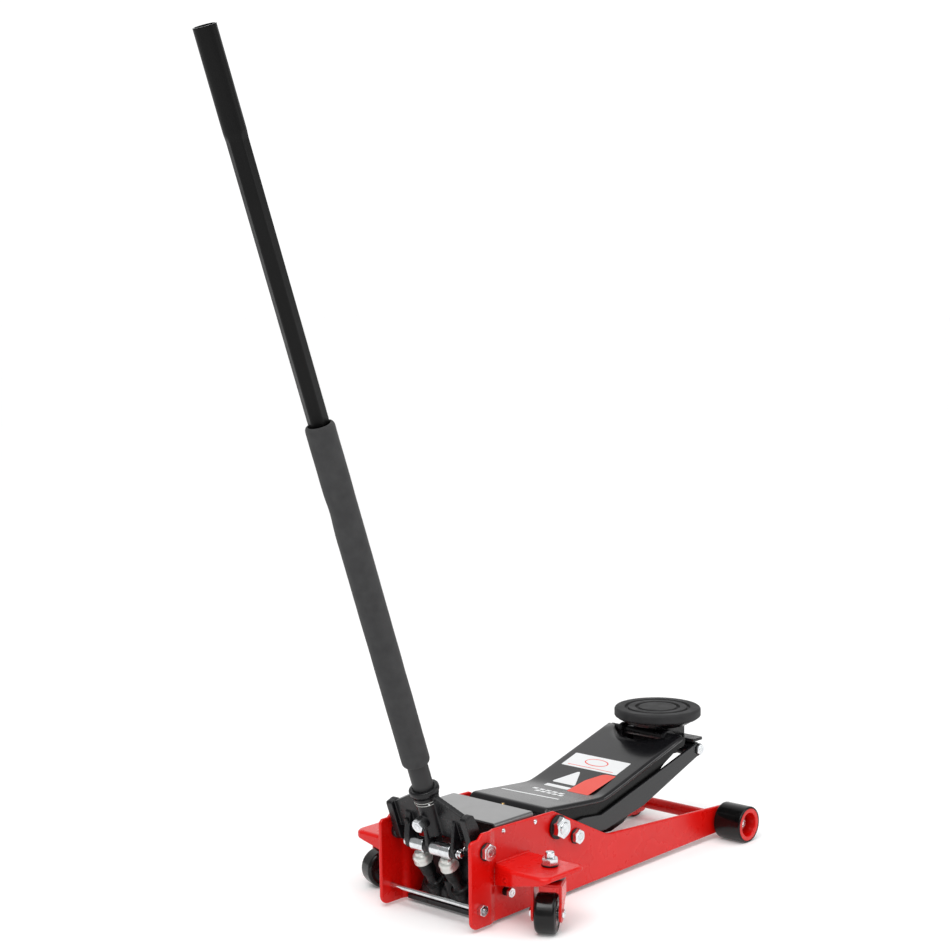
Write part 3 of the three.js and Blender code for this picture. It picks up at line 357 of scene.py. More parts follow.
# ---------------------------------------------------------------- finishes
class Graph:
    """A material's nodes, with short calls for the ones that the finishes share."""

    def __init__(self, name: str) -> None:
        """Makes an empty material with a Principled shader.

        Args:
            name: The material's name.
        """
        self.material = bpy.data.materials.new(name)
        self.material.use_nodes = True
        self.tree = self.material.node_tree
        self.shader = self.tree.nodes["Principled BSDF"]
        self.spot = self.tree.nodes.new("ShaderNodeTexCoord").outputs["Object"]

    def constants(self, **sockets: float | tuple[float, ...]) -> None:
        """Sets the shader's own sockets, named with _ for each space."""
        for name, value in sockets.items():
            self.shader.inputs[name.replace("_", " ")].default_value = value

    def stretched(self, scale: tuple[float, float, float]) -> bpy.types.NodeSocket:
        """The piece's own coordinates, scaled differently along each axis.

        Args:
            scale: The scale along each axis.

        Returns:
            The socket with the scaled coordinates.
        """
        mapping = self.tree.nodes.new("ShaderNodeMapping")
        mapping.inputs["Scale"].default_value = scale
        self.tree.links.new(self.spot, mapping.inputs["Vector"])
        return mapping.outputs["Vector"]

    def noise(self, scale: float, detail: float = 2.0,
              spot: bpy.types.NodeSocket | None = None) -> bpy.types.NodeSocket:
        """A soft noise with so many features to the metre.

        Args:
            scale: Features to the metre.
            detail: How many finer layers it has.
            spot: The coordinates, if not the piece's own.

        Returns:
            The socket with the pattern, from 0 to 1.
        """
        node = self.tree.nodes.new("ShaderNodeTexNoise")
        node.inputs["Scale"].default_value = scale
        node.inputs["Detail"].default_value = detail
        self.tree.links.new(spot or self.spot, node.inputs["Vector"])
        return node.outputs["Fac"]

    def cells(self, scale: float) -> bpy.types.NodeSocket:
        """Distances within a cell pattern with so many cells to the metre.

        Args:
            scale: Cells to the metre.

        Returns:
            The socket with the distances.
        """
        node = self.tree.nodes.new("ShaderNodeTexVoronoi")
        node.inputs["Scale"].default_value = scale
        self.tree.links.new(self.spot, node.inputs["Vector"])
        return node.outputs["Distance"]

    def colours(self, source: bpy.types.NodeSocket, first: Sequence[float],
                second: Sequence[float], low: float = 0.3, high: float = 0.7) -> None:
        """Blends the base colour between two colours by a pattern.

        Args:
            source: The pattern.
            first: The colour where the pattern is low.
            second: The colour where it is high.
            low: Where the blend starts.
            high: Where it ends.
        """
        ramp = self.tree.nodes.new("ShaderNodeValToRGB")
        ends = ramp.color_ramp.elements
        ends[0].position, ends[1].position = low, high
        ends[0].color, ends[1].color = (*first, 1.0), (*second, 1.0)
        self.tree.links.new(source, ramp.inputs["Fac"])
        self.tree.links.new(ramp.outputs["Color"], self.shader.inputs["Base Color"])

    def roughness(self, source: bpy.types.NodeSocket, smooth: float, rough: float) -> None:
        """Varies the roughness between two values by a pattern.

        Args:
            source: The pattern.
            smooth: The roughness where the pattern is low.
            rough: The roughness where it is high.
        """
        span = self.tree.nodes.new("ShaderNodeMapRange")
        span.inputs["From Min"].default_value = 0.3
        span.inputs["From Max"].default_value = 0.7
        span.inputs["To Min"].default_value = smooth
        span.inputs["To Max"].default_value = rough
        self.tree.links.new(source, span.inputs["Value"])
        self.tree.links.new(span.outputs["Result"], self.shader.inputs["Roughness"])

    def relief(self, *layers: tuple[bpy.types.NodeSocket, float, float]) -> None:
        """Stacks bump layers, each a pattern, a strength and a height in metres."""
        below = None
        for source, strength, height in layers:
            bump = self.tree.nodes.new("ShaderNodeBump")
            bump.inputs["Strength"].default_value = strength
            bump.inputs["Distance"].default_value = height
            self.tree.links.new(source, bump.inputs["Height"])
            if below is not None:
                self.tree.links.new(below, bump.inputs["Normal"])
            below = bump.outputs["Normal"]
        self.tree.links.new(below, self.shader.inputs["Normal"])


@dataclass(frozen=True)
class Paint:
    """Sprayed paint: slight shade changes, orange peel and patches of different gloss."""

    name: str
    slot: str
    shade: tuple[float, float, float]
    deep: tuple[float, float, float]
    smooth: float = 0.16
    rough: float = 0.26
    peel: float = 0.12
    peel_scale: float = 420.0
    coat: float = 0.0
    specular: float = 0.5

    def make(self) -> bpy.types.Material:
        """Builds the paint's material.

        Returns:
            The paint's material.
        """
        graph = Graph(self.name)
        graph.constants(Coat_Weight=self.coat, Coat_Roughness=0.08,
                        Specular_IOR_Level=self.specular)
        graph.colours(graph.noise(9.0, 4.0), self.deep, self.shade)
        graph.roughness(graph.noise(38.0, 5.0), self.smooth, self.rough)
        graph.relief((graph.noise(self.peel_scale, 1.0), self.peel, 0.0004),
                     (graph.noise(2600.0, 2.0), self.peel * 0.5, 0.00006))
        return graph.material


@dataclass(frozen=True)
class Casting:
    """Painted or machined casting: sandy skin under a satin finish."""

    name: str
    slot: str
    shade: tuple[float, float, float]
    deep: tuple[float, float, float]
    smooth: float = 0.24
    rough: float = 0.42
    metallic: float = 0.0
    grain: float = 0.35
    specular: float = 0.5

    def make(self) -> bpy.types.Material:
        """Builds the casting's material.

        Returns:
            The casting's material.
        """
        graph = Graph(self.name)
        graph.constants(Metallic=self.metallic, Specular_IOR_Level=self.specular)
        graph.colours(graph.noise(60.0, 5.0), self.deep, self.shade)
        graph.roughness(graph.noise(110.0, 4.0), self.smooth, self.rough)
        graph.relief((graph.noise(260.0, 3.0), self.grain, 0.0006),
                     (graph.noise(1500.0, 2.0), self.grain, 0.00015))
        return graph.material


@dataclass(frozen=True)
class Plating:
    """Plated steel: turning marks, pale blotches and a varying shine."""

    name: str
    slot: str
    shade: tuple[float, float, float]
    deep: tuple[float, float, float]
    smooth: float = 0.16
    rough: float = 0.34

    def make(self) -> bpy.types.Material:
        """Builds the plating's material.

        Returns:
            The plating's material.
        """
        graph = Graph(self.name)
        graph.constants(Metallic=1.0)
        graph.colours(graph.noise(150.0, 4.0), self.deep, self.shade)
        graph.roughness(graph.noise(90.0, 5.0), self.smooth, self.rough)
        marks = graph.noise(160.0, 3.0, graph.stretched((1.0, 9.0, 1.0)))
        graph.relief((marks, 0.10, 0.0002), (graph.noise(900.0, 2.0), 0.10, 0.0001))
        return graph.material


@dataclass(frozen=True)
class Elastomer:
    """Rubber, foam or nylon: a fine skin with pores or moulding grain."""

    name: str
    slot: str
    shade: tuple[float, float, float]
    deep: tuple[float, float, float]
    smooth: float
    rough: float
    pores: float
    pore_scale: float
    sheen: float = 0.0
    specular: float = 0.4

    def make(self) -> bpy.types.Material:
        """Builds the skin's material.

        Returns:
            The skin's material.
        """
        graph = Graph(self.name)
        graph.constants(Sheen_Weight=self.sheen, Sheen_Roughness=0.5,
                        Specular_IOR_Level=self.specular)
        graph.colours(graph.noise(70.0, 6.0), self.deep, self.shade)
        graph.roughness(graph.noise(45.0, 4.0), self.smooth, self.rough)
        graph.relief((graph.cells(self.pore_scale), self.pores, 0.0003),
                     (graph.noise(self.pore_scale * 0.4, 3.0), self.pores, 0.0003))
        return graph.material


RED = Paint("red_powder_coat", "red_paint", (0.70, 0.004, 0.002), (0.63, 0.003, 0.0015),
            smooth=0.24, rough=0.32, peel=0.12, coat=0.05, specular=0.34)
BLACK = Paint("black_enamel", "black_gloss", (0.008, 0.008, 0.009), (0.005, 0.005, 0.006),
              smooth=0.16, rough=0.24, peel=0.08, coat=0.1, specular=0.42)
# A darker, less shiny copy of the black enamel for the arm's flanges: painted shade for the shadow
# under the overhanging top sheet.
PAINTED_SHADE_ENAMEL = Paint("black_enamel_flange_painted_shade", "black_gloss", (0.005, 0.005, 0.005),
              (0.003, 0.003, 0.003), smooth=0.22, rough=0.32, peel=0.08, specular=0.16)
SATIN = Paint("black_satin_tube", "black_gloss", (0.0045, 0.0045, 0.0045),
              (0.003, 0.003, 0.003), smooth=0.36, rough=0.46, peel=0.08, specular=0.14)
TUBE = Paint("grey_black_tube", "black_gloss", (0.030, 0.030, 0.031), (0.024, 0.024, 0.025),
             smooth=0.42, rough=0.55, peel=0.10, specular=0.3)
# Black enamel whose base colour is lifted to dark grey: a painted reflection of the studio light
# across the flat cover.
COVER_PAINTED_REFLECTION = Paint("black_cover_enamel_painted_reflection", "black_gloss", (0.075, 0.075, 0.076), (0.066, 0.066, 0.067),
              smooth=0.30, rough=0.36, peel=0.05, coat=0.7, specular=0.9)
CAST = Casting("black_casting", "black_cast", (0.008, 0.008, 0.009), (0.004, 0.004, 0.005),
               smooth=0.22, rough=0.38, specular=0.32)
CAP = Casting("pale_cast_cap", "zinc", (0.76, 0.77, 0.74), (0.60, 0.61, 0.58), smooth=0.24,
              rough=0.40, metallic=0.6, grain=0.10)
ZINC = Plating("bright_zinc", "zinc", (0.80, 0.82, 0.83), (0.60, 0.62, 0.64), smooth=0.10,
               rough=0.24)
BRASS = Plating("plain_brass", "brass", (0.52, 0.36, 0.15), (0.36, 0.22, 0.08))
RUBBER = Elastomer("pad_rubber", "pad_rubber", (0.026, 0.026, 0.027), (0.018, 0.018, 0.019),
                   smooth=0.58, rough=0.74, pores=0.12, pore_scale=900.0, specular=0.3)
FOAM = Elastomer("closed_cell_foam", "foam", (0.048, 0.048, 0.049), (0.037, 0.037, 0.038),
                 smooth=0.86, rough=0.96, pores=0.30, pore_scale=1100.0, sheen=0.08,
                 specular=0.25)
NYLON = Elastomer("wheel_nylon", "wheel_nylon", (0.005, 0.005, 0.005), (0.003, 0.003, 0.003),
                  smooth=0.14, rough=0.26, pores=0.03, pore_scale=300.0, specular=0.3)
WASHER = Casting("blackened_washer", "black_cast", (0.008, 0.008, 0.008), (0.004, 0.004, 0.004),
                 smooth=0.3, rough=0.45, grain=0.1, specular=0.3)
PRINT_WHITE = Paint("white_print", "black_gloss", (0.80, 0.81, 0.82), (0.74, 0.75, 0.76),
                    smooth=0.28, rough=0.36, peel=0.04)
PRINT_RED = Paint("red_print", "black_gloss", (0.78, 0.05, 0.022), (0.72, 0.04, 0.018),
                  smooth=0.28, rough=0.36, peel=0.04)

Finish = Paint | Casting | Plating | Elastomer


class Finishes:
    """Makes each finish's material once."""

    made: dict[str, bpy.types.Material] = {}

    @classmethod
    def of(cls, finish: Finish) -> bpy.types.Material:
        """The material of a finish, made when it is first asked for.

        Args:
            finish: The finish.

        Returns:
            Its material.
        """
        if finish.name not in cls.made:
            cls.made[finish.name] = finish.make()
        return cls.made[finish.name]


# ---------------------------------------------------------------- pieces
@dataclass(frozen=True)
class Edges:
    """How a piece's edges are softened, in millimetres."""

    bevel: float = 0.7
    steps: int = 2
    remesh: float = 0.0
    smoothing: int = 0
    angle: float = 32.0


@dataclass
class Maker:
    """Turns shells into pieces that ride on a body."""

    body: str

    def make(self, name: str, shell: Shell, finish: Finish, replaces: Sequence[str] = (),
             edges: Edges = Edges(), body: str | None = None) -> bpy.types.Object:
        """Makes one piece.

        Args:
            name: The piece's name.
            shell: Its skins, on the drawing.
            finish: Its finish.
            replaces: The CAD nodes it stands for.
            edges: How its edges are softened.
            body: The body it rides on, if not this maker's own.

        Returns:
            The new object.
        """
        shell.mesh.transform(DRAWING.to_frame())
        mesh = bpy.data.meshes.new(name)
        shell.mesh.to_mesh(mesh)
        shell.mesh.free()
        for polygon in mesh.polygons:
            polygon.use_smooth = True
        piece = bpy.data.objects.new(name, mesh)
        bpy.context.scene.collection.objects.link(piece)
        mesh.materials.append(Finishes.of(finish))
        self.soften(piece, edges)
        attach(piece, body or self.body)
        if replaces:
            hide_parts(*replaces)
        LOG.info("%s on %s", name, body or self.body)
        return piece

    def soften(self, piece: bpy.types.Object, edges: Edges) -> None:
        """Adds the modifiers that round a piece's edges.

        Args:
            piece: The piece.
            edges: How its edges are softened.
        """
        if edges.remesh:
            remesh = piece.modifiers.new("skin", "REMESH")
            remesh.mode = "VOXEL"
            remesh.voxel_size = edges.remesh * MM
            remesh.use_smooth_shade = True
            relax = piece.modifiers.new("relax", "SMOOTH")
            relax.factor = 0.6
            relax.iterations = edges.smoothing
            return
        if edges.bevel:
            bevel = piece.modifiers.new("edges", "BEVEL")
            bevel.width = edges.bevel * MM
            bevel.segments = edges.steps
            bevel.limit_method = "ANGLE"
            bevel.angle_limit = math.radians(edges.angle)
            bevel.use_clamp_overlap = False
        normals = piece.modifiers.new("normals", "WEIGHTED_NORMAL")
        normals.keep_sharp = True

    def soften_node(self, node: str, finish: Finish, bevel: float = 0.4) -> bpy.types.Object:
        """A copy of a CAD node with softened edges, which stands for it.

        Args:
            node: The node's name.
            finish: Its finish.
            bevel: Width of its softened edges, in millimetres.

        Returns:
            The new object.
        """
        shell = Shell()
        shell.mesh.from_mesh(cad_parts[node].data)
        bmesh.ops.remove_doubles(shell.mesh, verts=shell.mesh.verts, dist=0.02 * MM)
        bmesh.ops.dissolve_limit(shell.mesh, angle_limit=math.radians(1), verts=shell.mesh.verts,
                                 edges=shell.mesh.edges)
        shell.mesh.transform(DRAWING.to_frame().inverted())
        return self.make(f"soft_{node}", shell, finish, [node], Edges(bevel=bevel))


def head(shell: Shell, place: Matrix, flats: float, height: float, stud: float = 0.0,
         proud: float = 0.0) -> Shell:
    """A hex head or nut that stands on its frame's Z = 0.

    Args:
        shell: The shell it is added to.
        place: A matrix from its frame to the drawing.
        flats: Half of its width across flats.
        height: Its height.
        stud: Radius of the bolt's end that shows through a nut.
        proud: How far that end stands out of the nut.

    Returns:
        The shell.
    """
    shell.hexagon(flats, 0, height, place)
    if stud:
        top = height + proud
        shell.turned([(stud, height - 1), (stud, top - 0.9), (stud - 0.9, top)], place, 32)
        shell.turned([(stud - 1.9, top - 0.5), (stud - 1.9, top + 0.15), (0.6, top + 0.2)],
                     place, 24)
    else:
        shell.turned([(flats * 0.62, height - 0.5), (flats * 0.6, height + 0.35),
                      (flats * 0.42, height + 0.35), (flats * 0.38, height - 0.1)], place, 36)
    return shell


def disc(shell: Shell, place: Matrix, radius: float, low: float, high: float,
         segments: int = 48) -> Shell:
    """A plain turned disc, added to a shell."""
    return shell.turned([(radius, low), (radius, high)], place, segments)


# ---------------------------------------------------------------- chassis
@dataclass
class Chassis(Maker):
    """Side plates, floor, cover and the fasteners through them."""

    body: str = "frame"
    rear: float = -3.0
    nose: float = 538.0
    top: float = 113.0
    step: float = 6.3
    rivet: float = 3.2
    plate_edges: Edges = Edges(bevel=2.0, steps=3)

    def build(self) -> None:
        """Makes every piece of the chassis."""
        for side in Side:
            self.side_plate(side)
            self.fasteners(side)
            self.trim_bolt(side)
            self.cover_rivets(side)
        self.floor()
        self.cover()
        self.axles()

    def plate_outline(self) -> list[Point]:
        """The side plate's outline, as (x, z).

        Returns:
            The outline's points.
        """
        crest = self.top + self.step
        pivot_x = DRAWING.arm_pivot[0]
        return rounded([
            (self.rear, 3.5, 12),
            (self.rear, self.top, 7),
            (self.rear + 15, self.top, 4),
            (self.rear + 22, crest, 4),
            (pivot_x - 5, crest - 3.6, 6),
            (pivot_x + 102, self.top - 51, 40),
            (self.nose, 43, 16),
            (self.nose, 8, 15),
        ], 8)

    def side_plate(self, side: Side) -> None:
        """A side plate, joggled outwards near its rear end.

        Args:
            side: The plate's side.
        """
        shell = Shell()
        inside = DRAWING.half_width - DRAWING.plate
        shell.prism(self.plate_outline(), Plane.XZ, side.out * inside,
                    side.out * DRAWING.half_width)
        start, end = 31.0, 45.0
        cuts = 10
        for k in range(cuts + 1):
            x = start + (end - start) * k / cuts
            bmesh.ops.bisect_plane(shell.mesh, geom=[*shell.mesh.verts, *shell.mesh.edges,
                                                     *shell.mesh.faces],
                                   plane_co=(x, 0, 0), plane_no=(1, 0, 0))
        for vert in shell.mesh.verts:
            out = 1 - smooth_step((vert.co.x - start) / (end - start))
            vert.co.y += side.out * DRAWING.flare * out
        bmesh.ops.recalc_face_normals(shell.mesh, faces=shell.mesh.faces)
        self.make(f"plate_{side.ending}", shell, RED, [f"side_plate_{side.ending}"],
                  self.plate_edges)

    def fasteners(self, side: Side) -> None:
        """The nuts and bolt heads outside one plate, each on its washer.

        Args:
            side: The plate's side.
        """
        outer = DRAWING.half_width
        flared = outer + DRAWING.flare
        ending = side.ending
        pivot = DRAWING.at_y(DRAWING.arm_pivot, outer + 0.3, side)
        washer = disc(Shell(), pivot, 15.5, 0, 3)
        self.make(f"pivot_washer_{ending}", washer, WASHER)
        nut = head(Shell(), pivot @ Matrix.Translation((0, 0, 3.1)), 12, 8.9, 8, 1.6)
        self.make(f"pivot_nut_{ending}", nut, ZINC, [f"main_pivot_nut_{ending}"], Edges(0.35))
        for name, at, face, flats in (
            ("link_bolt", DRAWING.link_pivot, outer, 8.5),
            ("socket_bolt", DRAWING.socket_pivot, flared, 9.5),
        ):
            place = DRAWING.at_y(at, face + 0.3, side)
            self.make(f"{name}_washer_{ending}", disc(Shell(), place, flats + 1.5, 0, 2.2), WASHER)
            bolt = head(Shell(), place @ Matrix.Translation((0, 0, 2.1)), flats, 5.9)
            shank = DRAWING.at_y(at, 0, side)
            inside = 59.5 if name == "link_bolt" else 57
            bolt.turned([(6, inside), (6, face + 1)], shank, 32)
            self.make(f"{name}_head_{ending}", bolt, ZINC, [f"{name}_{ending}"], Edges(0.35))
        tie = DRAWING.at_y(DRAWING.tie_rod, flared + 0.3, side)
        self.make(f"tie_nut_{ending}", head(Shell(), tie, 6.5, 6, 3, 1.6), ZINC,
                  [f"tie_rod_nut_{ending}"], Edges(0.3))

    def trim_bolt(self, side: Side) -> None:
        """The small bolt on a black sleeve under each caster bracket.

        Args:
            side: The bracket's side.
        """
        place = DRAWING.at_y((62, 37.5), DRAWING.half_width - 0.5, side)
        sleeve = disc(Shell(), place, 5.2, 0, 8.5, 32)
        self.make(f"trim_sleeve_{side.ending}", sleeve, WASHER)
        bolt = head(Shell(), place @ Matrix.Translation((0, 0, 8.3)), 5.6, 4.2)
        self.make(f"trim_bolt_{side.ending}", bolt, ZINC, edges=Edges(0.3))

    def cover_rivets(self, side: Side) -> None:
        """The round rivet heads that hold the cover's skirts.

        Args:
            side: The side the rivets are on.
        """
        for k, at in enumerate(((60.5, 112.5), (119.5, 110.5))):
            place = DRAWING.at_y(at, DRAWING.half_width - 0.2, side)
            dome = [(self.rivet, 0), (self.rivet, 0.5), (self.rivet * 0.8, 1.1),
                    (self.rivet * 0.45, 1.45), (0.3, 1.5)]
            self.make(f"cover_rivet_{side.ending}_{k}", Shell().turned(dome, place, 32), ZINC,
                      edges=Edges(0))

    def floor(self) -> None:
        """The floor sheet with its turned-up front lip."""
        half = DRAWING.half_width - DRAWING.plate - 0.3
        sheet = rounded([(38, 4, 1), (38, 10.5, 1), (143, 10.5, 3), (145, 16.5, 1), (150, 16.5, 1),
                         (150, 4, 5)], 4)
        shell = Shell().prism(sheet, Plane.XZ, -half, half)
        self.make("floor_sheet", shell, BLACK, ["base_plate"])
        hole = disc(Shell(), Matrix.Translation((37.9, 34, 7)) @ Matrix.Rotation(
            math.pi / 2, 4, "Y"), 1.6, -0.25, 0.05, 24)
        self.make("floor_pin_end", hole, WASHER, edges=Edges(0.15))

    def cover(self) -> None:
        """The flat cover between the plates, with turned-down skirts."""
        half = DRAWING.half_width - DRAWING.plate - 0.3
        low, high, sheet = 108.3, 122.2, 2.5
        outline = rounded([(-half, low, 0), (-half, high, 3.5), (half, high, 3.5), (half, low, 0),
                           (half - sheet, low, 0), (half - sheet, high - sheet, 1.2),
                           (-half + sheet, high - sheet, 1.2), (-half + sheet, low, 0)], 5)
        shell = Shell().prism(outline, Plane.YZ, 51.5, 122)
        # The cover's finish is black enamel lifted to grey: a painted reflection.
        self.make("cover_sheet", shell, COVER_PAINTED_REFLECTION, ["top_cover"], Edges(bevel=0.6))

    def axles(self) -> None:
        """The rods across the chassis."""
        tie = DRAWING.at_y(DRAWING.tie_rod, 0)
        reach = DRAWING.half_width + DRAWING.flare + 7.8
        rod = Shell().turned([(3, -reach), (3, reach)], tie, 32)
        self.make("tie_rod", rod, ZINC, ["rear_tie_rod"], Edges(0.4))
        axle = DRAWING.at_y(DRAWING.front_axle, 0)
        half = DRAWING.half_width - DRAWING.plate - 0.3
        tube = Shell().turned([(8.5, -half), (8.5, half), (6.3, half), (6.3, -half)], axle, 64,
                              ring=True)
        self.make("axle_tube", tube, RED, ["front_axle_tube"], Edges(0.5))
        seat = FrontRoller.inner + FrontRoller.width - FrontRoller.recess_depth + 5
        ends = seat + 9
        shaft = Shell().turned([(5, -ends), (5, -seat), (6, -seat), (6, seat), (5, seat),
                                (5, ends)], axle, 40)
        self.make("axle", shaft, ZINC, ["front_axle"], Edges(0.3))
        for side in Side:
            place = DRAWING.at_y(DRAWING.front_axle, seat + 0.3, side)
            self.make(f"axle_nut_zinc_{side.ending}", head(Shell(), place, 8.5, 7, 5, 1.7), ZINC,
                      [f"axle_nut_{side.ending}"], Edges(0.3))
        pivot = DRAWING.at_y(DRAWING.arm_pivot, 0)
        outer = DRAWING.half_width
        shaft = Shell().turned([(7.8, -outer - 12), (7.8, -outer), (10, -outer), (10, outer),
                                (7.8, outer), (7.8, outer + 12)], pivot, 48)
        self.make("pivot_shaft", shaft, ZINC, ["main_pivot_shaft"], Edges(0.3))


# ---------------------------------------------------------------- front rollers
@dataclass
class FrontRoller(Maker):
    """A red hub in a black sleeve."""

    side: Side = Side.RIGHT
    radius: float = 25.0
    sleeve: float = 2.4
    inner: float = 76.0
    width: float = 42.5
    recess: float = 16.0
    recess_depth: float = 24.0

    def build(self) -> None:
        """Makes the hub and the sleeve."""
        place = DRAWING.at_y(DRAWING.front_axle, self.inner, self.side)
        ending = self.side.ending
        core = self.radius - self.sleeve
        floor = self.width - self.recess_depth
        hub = Shell().turned([
            (core - 0.2, 0), (core - 0.2, self.width - 0.3), (self.recess + 1.0, self.width - 0.3),
            (self.recess, self.width - 1.6), (self.recess - 0.6, floor + 2.5),
            (self.recess - 3.0, floor), (10.5, floor), (10, floor + 5), (6.3, floor + 5), (6.3, 0),
        ], place, 72, ring=True)
        self.make(f"hub_{ending}", hub, RED, [f"front_hub_{ending}"], Edges(0.6, 2))
        sleeve = Shell().turned([
            (core, 0.4), (core + 0.4, 0), (self.radius - 1.8, 0), (self.radius - 0.6, 0.6),
            (self.radius, 2.0), (self.radius, self.width - 2.0),
            (self.radius - 0.6, self.width - 0.6), (self.radius - 1.8, self.width),
            (core + 0.4, self.width), (core, self.width - 0.4),
        ], place, 96, ring=True)
        self.make(f"sleeve_{ending}", sleeve, NYLON, [f"front_sleeve_{ending}"], Edges(0))


# ---------------------------------------------------------------- casters
@dataclass
class Caster(Maker):
    """One rear caster with the bracket it hangs from."""

    side: Side = Side.RIGHT
    bracket_top: float = 76.0
    sheet: float = 4.0
    fold: float = 4.5
    rear: float = 34.0
    front: float = 110.0
    out: float = 160.0
    fork_top: float = 61.0
    fork_sheet: float = 3.5
    fork_half: float = 15.0

    def build(self) -> None:
        """Makes the bracket, stem, race, fork, wheel and axle."""
        self.bracket()
        self.weld()
        self.stem()
        self.fork()
        self.wheel()
        self.axle()

    def bracket(self) -> None:
        """The pressed bracket: a flat top, a deep rear web and a turned-down outer lip."""
        s = self.side.out
        inside = DRAWING.half_width + 0.3
        top = self.bracket_top
        levels = [(0.0, top - self.fold - 0.3)]
        levels += [(self.fold * (1 - math.cos(math.radians(15 * k))),
                    top - self.fold * (1 - math.sin(math.radians(15 * k)))) for k in range(7)]
        rows = []
        for inset, z in levels:
            plan = rounded([(43 + inset, s * inside, 0),
                            (self.rear + inset, s * (inside + 34), 22),
                            (self.rear + 2 + inset, s * (self.out - inset), 12),
                            (self.front - inset, s * (self.out - inset), 9),
                            (self.front - inset, s * inside, 0)], 10)
            rows.append([Vector((x, y, z)) for x, y in plan])
        shell = Shell().loops(rows)
        edge = self.lip_path(inside, s)
        rows = []
        for point, ahead, drop in edge:
            inward = Vector((ahead.y, -ahead.x, 0)) * s
            face = Vector((point.x, point.y, 0))
            rows.append([
                face + Vector((0, 0, top - self.fold)), face + Vector((0, 0, top - drop)),
                face + inward * self.sheet + Vector((0, 0, top - drop)),
                face + inward * self.sheet + Vector((0, 0, top - self.fold)),
            ])
        shell.loops(rows)
        self.make(f"bracket_{self.side.ending}", shell, RED, [f"caster_bracket_{self.side.ending}"],
                  Edges(remesh=0.8, smoothing=3), body="frame")
        stamp = Matrix.Translation((self.rear + 2.1, s * 96, top - 15)) @ Matrix.Rotation(
            -math.pi / 2, 4, "Y")
        ring = Shell().turned([(5.2, -0.6), (5.2, 0.5), (4.2, 0.5), (4.2, -0.6)], stamp, 32, True)
        ring.turned([(1.8, -0.6), (1.8, 0.45)], stamp, 20)
        self.make(f"bracket_stamp_{self.side.ending}", ring, RED, edges=Edges(0.2), body="frame")

    def lip_path(self, inside: float, s: int) -> list[tuple[Vector, Vector, float]]:
        """The path of the turned-down edge, from the plate round the rear to the front.

        Args:
            inside: Where the bracket meets the plate, from the middle.
            s: The direction outwards along Y.

        Returns:
            For each station the point, the direction of travel and the lip's depth.
        """
        corners = rounded([(43, s * inside, 0), (self.rear, s * (inside + 34), 22),
                           (self.rear + 2, s * self.out, 12), (self.front - 9, s * self.out, 0)],
                          10)
        stations = []
        total = sum(math.dist(a, b) for a, b in zip(corners, corners[1:]))
        gone = 0.0
        for i, point in enumerate(corners):
            before = corners[max(i - 1, 0)]
            after = corners[min(i + 1, len(corners) - 1)]
            if i:
                gone += math.dist(corners[i - 1], point)
            ahead = Vector((after[0] - before[0], after[1] - before[1], 0)).normalized()
            share = gone / total
            drop = 27 - 16 * min(share / 0.5, 1.0) - 5 * smooth_step((share - 0.5) / 0.14)
            stations.append((Vector((point[0], point[1], 0)), ahead, drop))
        return stations

    def weld(self) -> None:
        """The weld bead where the bracket's top meets the plate."""
        s = self.side.out
        path = []
        for k in range(60):
            x = 45 + 62 * k / 59
            wave = 0.25 * math.sin(k * 1.9)
            path.append(Vector((x, s * (DRAWING.half_width + 0.6), self.bracket_top + 0.2 + wave)))
        bead = Shell().rod(path, 1.5, 10)
        self.make(f"bracket_weld_{self.side.ending}", bead, RED, edges=Edges(0), body="frame")

    def stem(self) -> None:
        """The stem bolt with its black washer, nut and threaded end, and the bearing race."""
        ending = self.side.ending
        place = Matrix.Translation((DRAWING.caster[0], self.side.out * DRAWING.caster[1], 0))
        seat = self.bracket_top + 0.3
        washer = disc(Shell(), place, 10.2, seat, seat + 2.2)
        self.make(f"stem_washer_{ending}", washer, WASHER, body="frame")
        turn = Matrix.Rotation(math.radians(12), 4, "Z")
        nut = head(Shell(), place @ turn @ Matrix.Translation((0, 0, seat + 2.1)), 9.4, 8.2, 5.6,
                   7.2)
        nut.turned([(5, self.fork_top - 4), (5, seat + 4)], place, 32)
        nut.turned([(8, self.fork_top - 7), (8, self.fork_top - 3.8)], place, 32)
        self.make(f"stem_nut_{ending}", nut, ZINC, [f"caster_stem_{ending}"], Edges(0.35),
                  body="frame")
        under = self.bracket_top - self.sheet - 0.3
        low = self.fork_top + 0.3
        race = Shell().turned([(5.3, low), (17, low), (19.4, low + 1.2), (20, low + 3.4),
                               (20, under - 3), (19, under - 0.6), (17.8, under), (5.3, under)],
                              place, 56, ring=True)
        self.make(f"race_{ending}", race, CAST, [f"caster_race_{ending}"], Edges(0), body="frame")

